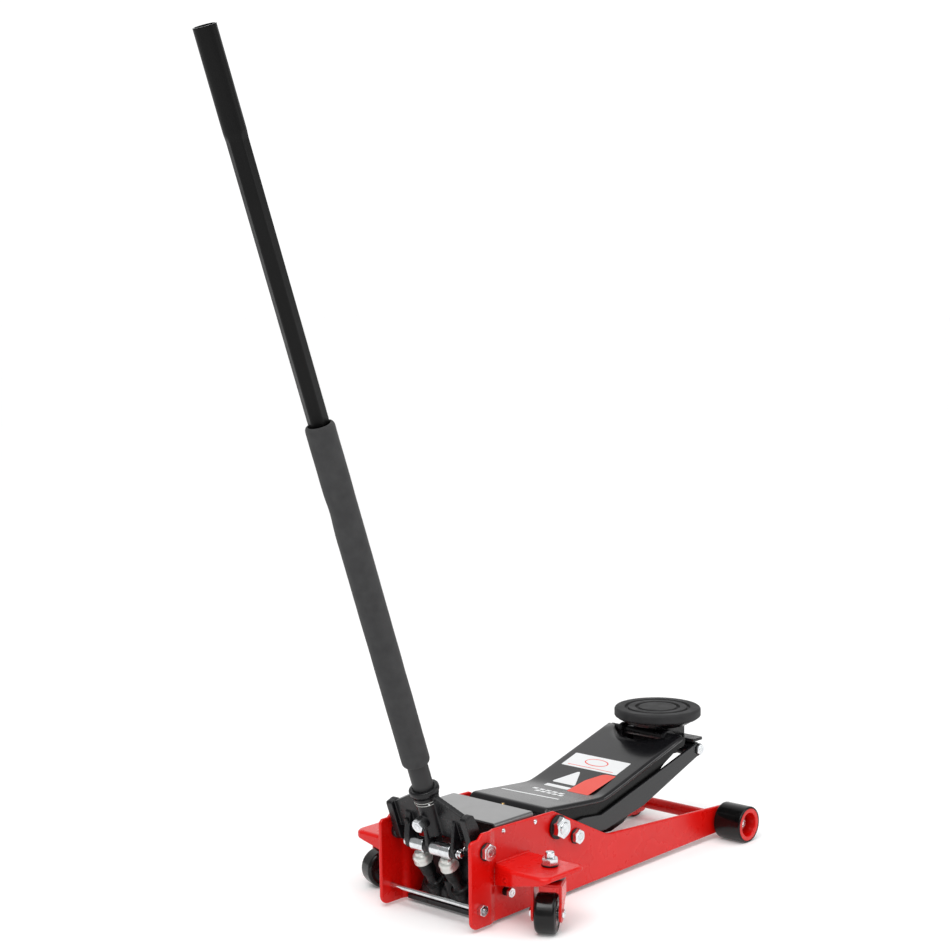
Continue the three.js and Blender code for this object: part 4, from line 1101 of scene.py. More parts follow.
    def fork(self) -> None:
        """The red fork: a crown and two legs with rounded feet, and its rivets."""
        place = DRAWING.swivel(self.side)
        trail, radius = DRAWING.caster_trail, DRAWING.caster_radius
        outside = self.fork_half + self.fork_sheet
        top = self.fork_top
        channel = rounded([
            (-outside, top - 22, 0), (-outside, top, 4.5), (outside, top, 4.5),
            (outside, top - 22, 0), (self.fork_half, top - 22, 0),
            (self.fork_half, top - self.fork_sheet, 1.2),
            (-self.fork_half, top - self.fork_sheet, 1.2), (-self.fork_half, top - 22, 0)], 5)
        shell = Shell().prism(channel, Plane.YZ, -trail - 5, 9, place)
        leg = rounded([
            (7, top - 20, 2), (-trail - 4, top - 20, 2), (-trail - 9.5, radius + 4, 6),
            (-trail - 9.0, radius - 10.5, 9), (-trail + 9.5, radius - 10.5, 9),
            (-trail + 9.5, radius + 2, 6)], 6)
        for side in (-1, 1):
            shell.prism(leg, Plane.XZ, side * self.fork_half, side * outside, place)
        nose = rounded([(8, -outside + 1, 0), (15, -outside + 5, 5), (15, outside - 5, 5),
                        (8, outside - 1, 0)], 6)
        shell.prism(nose, Plane.XY, top - self.fork_sheet, top, place)
        ending = self.side.ending
        body = f"caster_{ending}"
        self.make(f"fork_{ending}", shell, RED, [f"caster_fork_{ending}"], Edges(0.9, 3), body=body)
        for k, y in enumerate((-9.0, 9.0)):
            dome = [(2.6, -0.2), (2.6, 0.4), (1.9, 1.0), (0.3, 1.3)]
            spot = place @ Matrix.Translation((-13, y, top - self.fork_sheet)) @ Matrix.Rotation(
                math.pi, 4, "X")
            self.make(f"fork_rivet_{ending}_{k}", Shell().turned(dome, spot, 24), ZINC,
                      edges=Edges(0), body=body)

    def wheel(self) -> None:
        """The solid wheel with rounded shoulders and a stepped face."""
        radius = DRAWING.caster_radius
        half = 13.0
        side = [(4.3, half - 1.6), (8.5, half - 1.6), (9.5, half - 0.4), (14.5, half - 0.4),
                (15.5, half - 1.4), (18.5, half - 1.2), (20.5, half)]
        shoulder = arc((radius - 4.5, half - 4.5), 4.5, 90, 0, 7)
        face = side + shoulder
        profile = [(r, -z) for r, z in reversed(face)]
        ring = [(r, z) for r, z in face] + profile
        place = DRAWING.swivel(self.side) @ Matrix.Translation(
            (-DRAWING.caster_trail, 0, radius)) @ Matrix.Rotation(-math.pi / 2, 4, "X")
        shell = Shell().turned(ring, place, 80, ring=True)
        ending = self.side.ending
        self.make(f"wheel_{ending}", shell, NYLON, [f"caster_wheel_{ending}"], Edges(0),
                  body=f"caster_roll_{ending}")

    def axle(self) -> None:
        """The wheel's axle: a hex head on one end and a nut on the other."""
        place = DRAWING.swivel(self.side) @ Matrix.Translation(
            (-DRAWING.caster_trail, 0, DRAWING.caster_radius))
        reach = self.fork_half + self.fork_sheet
        ending = self.side.ending
        shell = Shell()
        for side in (-1, 1):
            turn = Matrix.Rotation(-side * math.pi / 2, 4, "X")
            spot = place @ Matrix.Translation((0, side * (reach + 0.2), 0)) @ turn
            head(shell, spot, 5.4, 2.6, 3.4 if side == self.side.out else 0.0, 0.6)
        shell.turned([(4, -reach), (4, reach)], place @ Matrix.Rotation(-math.pi / 2, 4, "X"), 32)
        self.make(f"wheel_axle_{ending}", shell, ZINC, [f"caster_axle_{ending}"], Edges(0.25),
                  body=f"caster_{ending}")


# ---------------------------------------------------------------- lift arm
@dataclass
class LiftArm(Maker):
    """The pressed lift arm, its pins and the prints on its top."""

    body: str = "arm"
    half: float = 58.5
    top_half: float = 64.7
    sheet: float = 5.0
    corner: float = 4.5
    lip: float = 6.0
    rear: Point = (149.0, 120.1)
    bend: Point = (267.0, 109.5)
    tip: Point = (437.0, 158.0)
    notch: float = 60.5

    def top(self, x: float) -> float:
        """The height of the arm's top at x, with a soft bend and a rolled rear edge.

        Args:
            x: The place along the jack.

        Returns:
            The height over the floor.
        """
        back = (self.rear[1] - self.bend[1]) / (self.rear[0] - self.bend[0])
        front = (self.tip[1] - self.bend[1]) / (self.tip[0] - self.bend[0])
        soft = 9.0
        blend = math.sqrt((x - self.bend[0]) ** 2 + soft ** 2) - soft * 0.9
        height = self.bend[1] + (back + front) / 2 * (x - self.bend[0]) + (front - back) / 2 * blend
        roll = max(0.0, self.rear[0] + 10 - x)
        height -= 10 - math.sqrt(max(100 - roll * roll, 0.0))
        past = max(0.0, x - self.tip[0])
        return height - past * 0.5

    def stations(self) -> list[float]:
        """Where the arm's cross-sections are taken.

        Returns:
            Their places along the jack, from the rear.
        """
        rolled = [self.rear[0] + 10 * (1 - math.cos(math.radians(90 * k / 8))) for k in range(9)]
        bend = [self.bend[0] - 32 + 4 * k for k in range(17)]
        middle = [170.0, 195.0, 220.0]
        front = [325.0, 350.0, 375.0, 400.0, 420.0, 437.0]
        return sorted(set(rolled + middle + bend + front))

    def lower_edge(self) -> list[Point]:
        """The flange's lower outline from its front to its rear, as (x, z).

        Returns:
            The outline's points.
        """
        px, pz = DRAWING.saddle_pivot
        tx, tz = DRAWING.thrust_pin
        bx, bz = self.bend
        ax, az = DRAWING.arm_pivot
        corners = rounded([
            (px + 9, pz + 3, 0), (px + 12, pz - 2, 5), (px + 10, pz - 12, 6), (px - 6, pz - 13, 6),
            (bx + 137, bz + 14.5, 20), (bx + 48, bz - 46.5, 16), (bx + 22, bz - 52.5, 10),
            (tx + 42, tz + 14, 20), (tx + 10, tz - 14, 10), (tx - 14, tz - 13, 10),
            (ax - 16, az - 18, 16), (ax - 17, az + 6, 0),
        ], 7)
        return corners

    def build(self) -> None:
        """Makes the arm, the pins across it and the prints."""
        self.make("arm_pressing", self.top_sheet(), BLACK, ["lift_arm"], Edges(bevel=0))
        for side in Side:
            # The flanges take a darker copy of the arm's black enamel: painted shade under the
            # overhanging top.
            flange = Shell().prism(self.flange(), Plane.XZ, side.out * (self.half - self.sheet),
                                   side.out * self.half)
            self.make(f"arm_flange_{side.ending}", flange, PAINTED_SHADE_ENAMEL, edges=Edges(bevel=0.9, steps=3))
        for name, at, radius in (("thrust_pin", DRAWING.thrust_pin, DRAWING.thrust_radius),
                                 ("saddle_pin", DRAWING.saddle_pivot, 5.5)):
            place = DRAWING.at_y(at, 0)
            rod = Shell().turned([(radius, -self.half + 0.2), (radius, self.half - 0.2)], place, 48)
            self.make(f"{name}_steel", rod, ZINC if name == "thrust_pin" else CAST, [name],
                      Edges(0.8))
        self.prints()

    def end_of(self, y: float) -> float:
        """Where the top sheet ends in front at a distance from the middle: round the saddle."""
        reach = DRAWING.saddle_pivot[0] + 29 - math.sqrt(max(self.notch ** 2 - y * y, 0.0))
        return min(reach, self.tip[0])

    def flange(self) -> list[Point]:
        """One flange's outline, as (x, z): under the top sheet, then back along its lower edge."""
        upper = [(x, self.top(x) - 3.5) for x in self.stations() if x < self.end_of(self.half) - 2]
        return upper + self.lower_edge()

    def across(self) -> list[tuple[Point, Point]]:
        """The top sheet's section: pairs of (y, drop) on its skin and on its underside.

        Returns:
            The pairs, from the left edge to the right.
        """
        inner = self.top_half - self.corner
        under = self.top_half - 2.7
        pairs = []
        for k in range(1, 7):
            turn = math.radians(15 * k)
            skin = (inner + self.corner * math.sin(turn), self.corner * (1 - math.cos(turn)))
            pairs.append((skin, (inner + (under - inner) * k / 6, self.sheet)))
        pairs.append(((self.top_half, self.lip), (under, self.lip)))
        left = list(reversed(pairs))
        right = [((-a[0], a[1]), (-b[0], b[1])) for a, b in pairs]
        flat = [inner * (1 - 2 * k / 24) for k in range(25)]
        return left + [((y, 0.0), (y, self.sheet)) for y in flat] + right

    def top_sheet(self) -> Shell:
        """Skins the arm's top: a thick sheet with rounded long edges, cut round the saddle.

        Returns:
            The sheet's shell.
        """
        shell = Shell()
        mesh = shell.mesh
        pairs = self.across()
        count = len(pairs)
        rows = []
        for x in self.stations():
            row = []
            for part in (0, 1):
                for pair in pairs if part == 0 else reversed(pairs):
                    y, drop = pair[part]
                    end = self.end_of(pair[0][0])
                    along = x if x <= 325 else 325 + (x - 325) * (end - 325) / (self.tip[0] - 325)
                    row.append(mesh.verts.new((along, y, self.top(along) - drop)))
            rows.append(row)
        for low, high in zip(rows, rows[1:]):
            for i in range(2 * count):
                k = (i + 1) % (2 * count)
                mesh.faces.new((low[i], low[k], high[k], high[i]))
        for row in (rows[0], rows[-1]):
            for k in range(count - 1):
                mesh.faces.new((row[k], row[k + 1], row[2 * count - 2 - k], row[2 * count - 1 - k]))
        bmesh.ops.recalc_face_normals(mesh, faces=mesh.faces)
        return shell

    def print_shape(self, name: str, outline: Sequence[Point], finish: Finish,
                    lift: float = 0.12) -> None:
        """Lays a thin print on the arm's top.

        Args:
            name: The print's name.
            outline: Its outline, as (x, y).
            finish: Its finish.
            lift: How far it stands over the paint.
        """
        shell = Shell()
        low = [Vector((x, y, self.top(x) + 0.02)) for x, y in outline]
        high = [Vector((x, y, self.top(x) + lift)) for x, y in outline]
        shell.loops([low, high])
        piece = self.make(name, shell, finish, edges=Edges(0))
        for polygon in piece.data.polygons:
            polygon.use_smooth = False

    def prints(self) -> None:
        """The printed shapes: a panel with an oval, a block, a wedge, dashes and stripes."""
        panel = rounded([(318.5, -43, 1.5), (351, -43, 1.5), (351, 50, 1.5), (318.5, 50, 1.5)], 3)
        self.print_shape("print_panel", panel, PRINT_WHITE)
        ovals = (("print_badge", 8.5, 19.0, PRINT_RED, 0.2),
                 ("print_badge_middle", 7.0, 17.2, PRINT_WHITE, 0.28))
        for name, wide, tall, finish, lift in ovals:
            oval = [(337 + wide * math.cos(t), 4 + tall * math.sin(t))
                    for t in (2 * math.pi * k / 32 for k in range(32))]
            self.print_shape(name, oval, finish, lift)
        bar = [(322.4, -34), (323.4, -34), (323.4, 42), (322.4, 42)]
        self.print_shape("print_panel_line", bar, PRINT_RED, 0.2)
        block = rounded([(256, -10, 2), (292, -10, 16), (316, -26, 12), (316, -45, 2),
                         (256, -45, 2)], 7)
        self.print_shape("print_block", block, PRINT_RED)
        wedge = rounded([(276, 32, 2), (312, 11, 3), (276, -8, 2)], 4)
        self.print_shape("print_wedge", wedge, PRINT_WHITE, 0.22)
        band = rounded([(260, 32, 1), (269, 32, 1), (269, -8, 1), (260, -8, 1)], 3)
        self.print_shape("print_band", band, PRINT_WHITE, 0.22)
        for k, (x, y0, y1) in enumerate(((224.0, 18, -30), (234.0, 30, -24))):
            for n in range(5):
                a = y0 + (y1 - y0) * n / 5
                b = a + (y1 - y0) / 5 * 0.72
                bar = [(x, b), (x + 6.5, b), (x + 6.5, a), (x, a)]
                self.print_shape(f"print_mark_{k}_{n}", bar, PRINT_WHITE)
        stripe = [(196, 50.6), (200, 50.6), (209, -37.5), (205, -37.5)]
        self.print_shape("print_stripe", stripe, PRINT_WHITE)


@dataclass
class Links(Maker):
    """The two flat links beside the lift arm."""

    inside: float = 59.5
    sheet: float = 4.0

    def build(self) -> None:
        """Makes the link and the front bolt on each side."""
        gx, gz = DRAWING.link_pivot
        kx, kz = DRAWING.link_front
        outline = rounded([
            (gx - 12, gz + 12, 10), (gx + 30, gz + 15, 10), (gx + 66, gz + 11, 10),
            (kx - 4, kz + 9, 7), (kx + 9, kz + 6, 6), (kx + 9, kz - 8, 6), (kx - 4, kz - 10, 5),
            (gx + 156, gz + 4, 20), (gx + 76, gz - 11, 16), (gx + 10, gz - 13, 10),
            (gx - 13, gz - 10, 10),
        ], 8)
        for side in Side:
            s, ending = side.out, side.ending
            shell = Shell().prism(outline, Plane.XZ, s * self.inside,
                                  s * (self.inside + self.sheet))
            self.make(f"link_{ending}_sheet", shell, BLACK, [f"lift_link_{ending}"],
                      Edges(bevel=0.8, steps=3), body=f"link_{ending}")
            seat = self.inside + self.sheet + 0.3
            place = DRAWING.at_y((kx, kz), seat, side)
            washer = disc(Shell(), place, 7.4, -0.1, 0.9, 36)
            self.make(f"link_front_washer_{ending}", washer, WASHER, edges=Edges(0.2),
                      body="saddle_carrier")
            bolt = head(Shell(), place @ Matrix.Translation((0, 0, 0.8)), 6.8, 2.7)
            bolt.turned([(5, 40), (5, seat)], DRAWING.at_y((kx, kz), 0, side), 32)
            self.make(f"link_front_head_{ending}", bolt, ZINC, [f"link_front_bolt_{ending}"],
                      Edges(0.3), body="saddle_carrier")


# ---------------------------------------------------------------- saddle
@dataclass
class Saddle(Maker):
    """The saddle: its carrier, the turning cup and the rubber pad."""

    x: float = 467.0
    top: float = 183.5
    radius: float = 59.5
    pad: float = 13.0
    cup_height: float = 10.5

    def build(self) -> None:
        """Makes the carrier, the cup and the pad."""
        self.carrier()
        self.cup()
        self.rubber_pad()

    def carrier(self) -> None:
        """The block under the cup with its ears, wing and cross tube."""
        hx, hz = DRAWING.saddle_pivot
        kx, kz = DRAWING.link_front
        block_top = self.top - self.pad - self.cup_height - 0.3
        wing_half = 62.0
        under = kz + 11.2
        shell = Shell()
        block = rounded([(hx + 9.5, -30, 3), (self.x + 24, -30, 3), (self.x + 24, 30, 3),
                         (hx + 9.5, 30, 3)], 4)
        shell.prism(block, Plane.XY, kz - 8, block_top)
        wing = rounded([(kx - 10, -wing_half, 2), (kx + 12, -wing_half, 3),
                        (kx + 12, wing_half, 3), (kx - 10, wing_half, 2)], 4)
        shell.prism(wing, Plane.XY, under, under + 4)
        shell.box((hx + 14, kx + 8), (-39, 39), (kz - 6, kz + 2))
        ear = rounded([
            (hx - 11, hz - 8, 9), (hx - 11, hz + 9.5, 9), (hx + 3, hz + 9.5, 5),
            (kx - 10, under + 2, 0), (kx + 10, under + 2, 0), (kx + 10, kz - 9, 8),
            (kx - 8, kz - 9, 8)], 6)
        for s in (-1, 1):
            shell.prism(ear, Plane.XZ, s * 34, s * 40)
        shell.turned([(9, -59), (9, 59)], DRAWING.at_y((kx, kz), 0), 40)
        self.make("saddle_block", shell, CAST, ["saddle_bracket"], Edges(0.8, 2),
                  body="saddle_carrier")
        for k, (y, z) in enumerate(((-24.0, block_top - 8), (-14.0, block_top - 8))):
            spot = Matrix.Translation((hx + 9.3, y, z)) @ Matrix.Rotation(-math.pi / 2, 4, "Y")
            self.make(f"saddle_block_screw_{k}", head(Shell(), spot, 3.2, 1.6), CAST,
                      edges=Edges(0.2), body="saddle_carrier")

    def cup(self) -> None:
        """The steel cup that carries the pad on its stem."""
        top = self.top - self.pad
        under = top - self.cup_height
        place = Matrix.Translation((self.x, 0, 0))
        rim = self.radius - 3.5
        shell = Shell().turned([
            (12, under - 21), (12, under), (38, under), (44, under + 2.2), (50, under + 6.2),
            (rim - 0.8, top - 2), (rim, top - 1), (rim, top - 0.3)], place, 96)
        self.make("cup", shell, CAST, ["saddle_cup"], Edges(0.5), body="saddle")

    def rubber_pad(self) -> None:
        """The pad: a round rim, a raised band and two ring grooves with soft walls."""
        top, bottom = self.top, self.top - self.pad
        place = Matrix.Translation((self.x, 0, 0))
        edge = self.radius

        def groove(centre: float, width: float, depth: float) -> list[Point]:
            """A soft-walled groove, from its outer side to its inner side.

            Args:
                centre: The radius of its middle.
                width: Half of its width.
                depth: Its depth.

            Returns:
                Its part of the pad's profile.
            """
            outer, inner = centre + width, centre - width
            return [(outer + 0.5, top), (outer, top - 0.25), (outer - 0.45, top - depth + 0.4),
                    (outer - 0.9, top - depth), (inner + 0.9, top - depth),
                    (inner + 0.45, top - depth + 0.4), (inner, top - 0.25), (inner - 0.5, top)]

        profile = [(edge - 3, bottom), (edge - 1, bottom + 0.5), (edge, bottom + 2.0),
                   (edge, top - 3.4), (edge - 0.3, top - 2.2), (edge - 1.1, top - 1.0),
                   (edge - 2.3, top - 0.25), (edge - 3.8, top)]
        profile += groove(42.9, 2.5, 3.4)
        profile += groove(28.6, 2.5, 3.4)
        profile += [(20, top), (8, top)]
        shell = Shell().turned(profile, place, 128)
        self.make("rubber_pad", shell, RUBBER, ["saddle_pad"], Edges(0), body="saddle")


# ---------------------------------------------------------------- pump
@dataclass
class Pump(Maker):
    """The pump block with its barrels, ram and plungers."""

    body: str = "frame"
    left: float = 23.5
    right: float = -20.0
    rear: float = 44.0
    front: float = 112.0
    top: float = 76.0
    half: float = 50.0
    ram_height: float = 47.0
    ram_radius: float = 11.0
    bore: float = 11.3
    cylinder: float = 24.0
    flange: float = 27.0
    play: float = 2.7
    plug_at: Point = (130.0, -11.0)

    def build(self) -> None:
        """Makes the block, the ram and both pumps."""
        self.block()
        self.ram()
        self.plug()
        for side, y in ((Side.RIGHT, self.right), (Side.LEFT, self.left)):
            self.plunger(side, y)

    def block(self) -> None:
        """The cast block with bosses and barrels, grown together like a casting."""
        shell = Shell()
        foot, waist = 10.8, self.rear + 10
        body = rounded([(self.rear, foot, 0), (self.rear, foot + 14, 4), (waist, foot + 34, 6),
                        (waist, self.top, 5), (self.front, self.top, 4), (self.front, foot, 0)], 6)
        shell.prism(body, Plane.XZ, -self.half, self.half)
        for y in (self.left, self.right):
            place = DRAWING.pump(y)
            shell.turned([(7.8, 44), (7.8, 59.5), (10.5, 59.5), (10.5, 80)], place, 40)
        rod = DRAWING.handle()
        shell.turned([(8.5, -84), (8.5, -56)], rod, 40)
        for y in (-40.0, 40.0):
            place = Matrix.Translation((50, y, 30)) @ Matrix.Rotation(-math.pi / 2, 4, "Y")
            shell.turned([(8, -8), (8, 3)], place, 32)
        self.make("block_casting", shell, CAST, ["pump_block"], Edges(remesh=1.1, smoothing=6))
        for k, y in enumerate((-40.0, 40.0)):
            place = Matrix.Translation((47, y, 30)) @ Matrix.Rotation(-math.pi / 2, 4, "Y")
            self.make(f"block_plug_{k}", head(Shell(), place, 5, 3.5), WASHER, edges=Edges(0.3))

    def ram(self) -> None:
        """The ram's cylinder, rod and thrust pad."""
        axis = Matrix.Translation((0, 0, self.ram_height)) @ Matrix.Rotation(math.pi / 2, 4, "Y")
        start, end = 112.4, 136
        tube = Shell().turned([
            (self.bore, start), (self.cylinder, start), (self.cylinder, 126.5),
            (self.flange - 0.6, 127), (self.flange, 128), (self.flange, 133),
            (self.flange - 0.6, 134), (self.cylinder, 134.2), (self.cylinder - 1, end),
            (self.bore, end)], axis, 64, ring=True)
        self.make("ram_tube", tube, CAST, ["ram_cylinder"], Edges(0.3))
        face = DRAWING.thrust_pin[0] - DRAWING.thrust_radius - self.play
        tail = 97
        rod = Shell().turned([(self.ram_radius - 1, tail), (self.ram_radius, tail + 1),
                              (self.ram_radius, face - 4)], axis, 48)
        pad = rounded([(-24, 31, 3), (24, 31, 3), (24, 76, 3), (-24, 76, 3)], 4)
        rod.prism(pad, Plane.YZ, face - 10, face)
        self.make("ram_rod_steel", rod, ZINC, ["ram_rod"], Edges(0.5), body="ram")

    def plug(self) -> None:
        """The small brass filler plug in front of the cover."""
        place = Matrix.Translation((*self.plug_at, 0))
        foot, neck = 73.5, 112.5
        shell = Shell().turned([(3.2, foot), (3.2, neck)], place, 32)
        shell.hexagon(3.6, neck, neck + 4.3, place)
        shell.turned([(2.4, neck + 4), (2.4, neck + 6.9), (1.6, neck + 8.1), (0.5, neck + 8.5)],
                     place, 32)
        self.make("brass_plug", shell, BRASS, ["filler_plug"], Edges(0.2))

    def plunger(self, side: Side, y: float) -> None:
        """A plunger: a pale cap over a black sleeve, and the spring seat under it.

        Args:
            side: Which plunger it is.
            y: Its place across the jack.
        """
        place = DRAWING.pump(y)
        ending = side.ending
        body = f"plunger_{ending}"
        cap = Shell().turned([(6.0, 10.4), (6.8, 11.2), (7.4, 13.6), (9.2, 14.6), (10.9, 16.4),
                              (11.7, 18.6), (11.7, 23.6), (12.1, 24.2), (12.1, 26.4), (11.5, 27),
                              (9.7, 27)], place, 72)
        self.make(f"plunger_cap_{ending}", cap, CAP, [f"pump_plunger_{ending}"], Edges(0.3),
                  body=body)
        sleeve = Shell().turned([(8.1, 27.1), (10.4, 27.1), (10.4, 33.5), (9.9, 34.2), (9.5, 45),
                                 (8.1, 45)], place, 64, ring=True)
        sleeve.turned([(4, 27.1), (4, 52)], place, 32)
        self.make(f"plunger_sleeve_{ending}", sleeve, WASHER, edges=Edges(0.3), body=body)
        gasket = Shell()
        for k in range(3):
            z = 60.5 + 2.4 * k
            gasket.turned([(10.4, z - 1.0), (11.6 - 0.2 * k, z - 0.5), (11.6 - 0.2 * k, z + 0.5),
                           (10.4, z + 1.0)], place, 48, ring=True)
        self.make(f"barrel_rings_{ending}", gasket, WASHER, edges=Edges(0.2))


# ---------------------------------------------------------------- handle
@dataclass
class Socket(Maker):
    """The cast handle socket with its wings, lugs, pin and rollers."""

    body: str = "socket"
    collar: float = 76.0
    clamp: float = 35.0
    clamp_seat: float = 18.5
    ear_out: float = 66.0
    ear_in: float = 56.0
    fins: tuple[Point, ...] = ((-43.5, -39.0), (-2.7, 2.8), (30.0, 38.5))
    collars: tuple[Point, ...] = ((-39.2, -35.7), (2.6, 8.6))
    pin_radius: float = 4.5
    roller: float = 9.5

    def pin(self) -> Point:
        """The roller pin's place in the handle's frame, as (x, z).

        Returns:
            The place.
        """
        x, z = DRAWING.roller_pin
        local = DRAWING.handle().inverted() @ Vector((x, 0, z))
        return (local.x, local.z)

    def build(self) -> None:
        """Makes the casting and what is on it."""
        self.casting()
        self.trim()
        self.clamp_bolt()
        self.pin_and_rollers()

    def casting(self) -> None:
        """The barrel, wings, ears and lugs, grown together like a casting."""
        place = DRAWING.handle()
        shell = Shell()
        shell.turned([
            (5.8, 11), (12.2, 11), (14.4, 13.5), (14.6, 30), (14.8, 43), (15.5, 60), (16.2, 67.5),
            (18.2, 69.2), (18.8, 70.6), (18.8, 74), (18.2, 75.6), (16.6, 76), (13.4, 76),
            (13.2, 74), (13.0, 16.6), (5.8, 16.6)], place, 64, ring=True)
        for s in (-1, 1):
            wing = rounded([
                (s * 13.5, self.collar - 9, 0), (s * (self.ear_out - 9), 45, 5),
                (s * (self.ear_out - 1), 44, 2), (s * (self.ear_out - 1), 26, 3),
                (s * (self.ear_out - 4), 22, 3), (s * (self.ear_out - 8), 12, 4),
                (s * 42, 10, 4), (s * 13.5, 10, 0)], 5)
            shell.prism(wing, Plane.YZ, -3.5, 3.5, place)
            ear = rounded([(-9, 46.5, 3), (6, 46.5, 4), (9, 30, 6), (10, -10, 9), (-10, -10, 9),
                           (-9, 26, 6)], 6)
            shell.prism(ear, Plane.XZ, s * self.ear_in, s * self.ear_out, place)
            boss = place @ Matrix.Rotation(-s * math.pi / 2, 4, "X")
            shell.turned([(11, self.ear_out - 1), (11, 70)], boss, 40)
        px, pz = self.pin()
        for low, high in self.fins:
            near, foot = (-3.0, 3.0) if abs(low) > 20 else (-12.5, -4.0)
            fin = rounded([(near, 38, 0), (near - 2.5, 37, 2), (px - 6.5, pz + 9, 7),
                           (px - 7.5, pz - 7.5, 6), (px + 7, pz - 7.5, 6), (foot, 12, 3),
                           (foot, 15, 0), (near, 17, 0)], 6)
            shell.prism(fin, Plane.XZ, low, high, place)
        spot = place @ Matrix.Translation((px, 0, pz)) @ Matrix.Rotation(-math.pi / 2, 4, "X")
        for low, high in self.collars:
            shell.turned([(8.2, low), (8.2, high)], spot, 40)
        boss = place @ Matrix.Translation((0, 0, self.clamp)) @ Matrix.Rotation(
            -math.pi / 2, 4, "Y")
        shell.turned([(8.5, 13.4), (8.5, self.clamp_seat)], boss, 36)
        self.make("socket_casting", shell, CAST, ["handle_socket"],
                  Edges(remesh=0.75, smoothing=2))

    def trim(self) -> None:
        """Bead rings round the barrel in pale metal, a painted highlight on the black casting, and a
        small locating dot.
        """
        place = DRAWING.handle()
        rings = Shell()
        for z, radius in ((60.5, 15.5), (57.0, 15.35)):
            rings.turned([(radius - 0.6, z - 0.6), (radius + 0.25, z - 0.25),
                          (radius + 0.25, z + 0.25), (radius - 0.6, z + 0.6)], place, 64, ring=True)
        # The pale metal of these rings paints the highlight lines on the black barrel.
        self.make("socket_bead_painted_highlight_rings", rings, CAP, edges=Edges(0.1))
        collar = Shell().turned([(15.6, 64.6), (16.9, 65.0), (16.9, 65.8), (15.8, 66.2)], place, 72,
                                ring=True)
        self.make("socket_collar_ring", collar, CAST, edges=Edges(0.2))
        turn = Matrix.Rotation(math.radians(-128), 4, "Z")
        dot = place @ turn @ Matrix.Translation((15.6, 0, 58.8)) @ Matrix.Rotation(
            math.pi / 2, 4, "Y")
        self.make("socket_dot", disc(Shell(), dot, 1.2, -0.5, 0.8, 20), ZINC, edges=Edges(0.3))
        knob = place @ Matrix.Translation((-7.0, 34.3, 27.0)) @ Matrix.Rotation(
            -math.pi / 2, 4, "Y")
        self.make("socket_knob", head(Shell(), knob, 3.4, 6.0), WASHER, edges=Edges(0.3))

    def clamp_bolt(self) -> None:
        """The bolt that clamps the handle, with a black washer under its head."""
        place = DRAWING.handle() @ Matrix.Translation((0, 0, self.clamp)) @ Matrix.Rotation(
            -math.pi / 2, 4, "Y")
        seat = self.clamp_seat + 2.1
        washer = disc(Shell(), place, 9.2, self.clamp_seat + 0.2, seat, 40)
        self.make("clamp_washer", washer, WASHER)
        bolt = head(Shell(), place @ Matrix.Translation((0, 0, seat - 0.1)), 7.5, 7.2)
        bolt.turned([(4, 12.4), (4, seat)], place, 28)
        self.make("clamp_head", bolt, ZINC, ["clamp_bolt"], Edges(0.35))

    def pin_and_rollers(self) -> None:
        """The pin through the lugs, its nut and cotter, and the two rollers."""
        place = DRAWING.handle()
        px, pz = self.pin()
        spot = place @ Matrix.Translation((px, 0, pz)) @ Matrix.Rotation(-math.pi / 2, 4, "X")
        pin = Shell().turned([(3.6, -50), (self.pin_radius, -49.2), (self.pin_radius, 42)], spot,
                             36)
        pin.turned([(6.4, 38.9), (6.6, 39.5), (6.6, 41.4), (5.6, 42.2)], spot, 36)
        pin.turned([(5.6, -46.8), (6.2, -46.3), (6.2, -44.2), (5.6, -43.8)], spot, 36)
        self.make("roller_pin_steel", pin, ZINC, ["roller_pin"], Edges(0.3))
        # The slot is not cut: a thin dark block on the pin's end paints the shade inside it.
        slot = Shell().box((-0.7, 0.7), (-3.4, 3.4), (-50.2, -49.6), spot)
        self.make("roller_pin_slot_painted_shade", slot, WASHER, edges=Edges(0.1))
        tail = [spot @ Vector(p) for p in ((-1.5, 5.0, -48.2), (0.5, 3.0, -48.2), (2.5, 0, -48.2),
                                           (5.5, -3.2, -48.2), (9.5, -5.5, -48.4))]
        self.make("cotter", Shell().rod(tail, 0.8, 8), ZINC, edges=Edges(0))
        spans = {Side.RIGHT: (self.collars[0][1], self.fins[1][0]),
                 Side.LEFT: (self.collars[1][1], self.fins[2][0])}
        for side, (low, high) in spans.items():
            r = self.roller
            roller = Shell().turned([
                (self.pin_radius + 0.3, low + 0.3), (r - 0.9, low + 0.3), (r, low + 1.2),
                (r, high - 1.2), (r - 0.9, high - 0.3), (self.pin_radius + 0.3, high - 0.3)],
                spot, 72, ring=True)
            ending = side.ending
            self.make(f"roller_{ending}", roller, ZINC, [f"pump_roller_{ending}"], Edges(0.2),
                      body=f"pump_roll_{ending}")


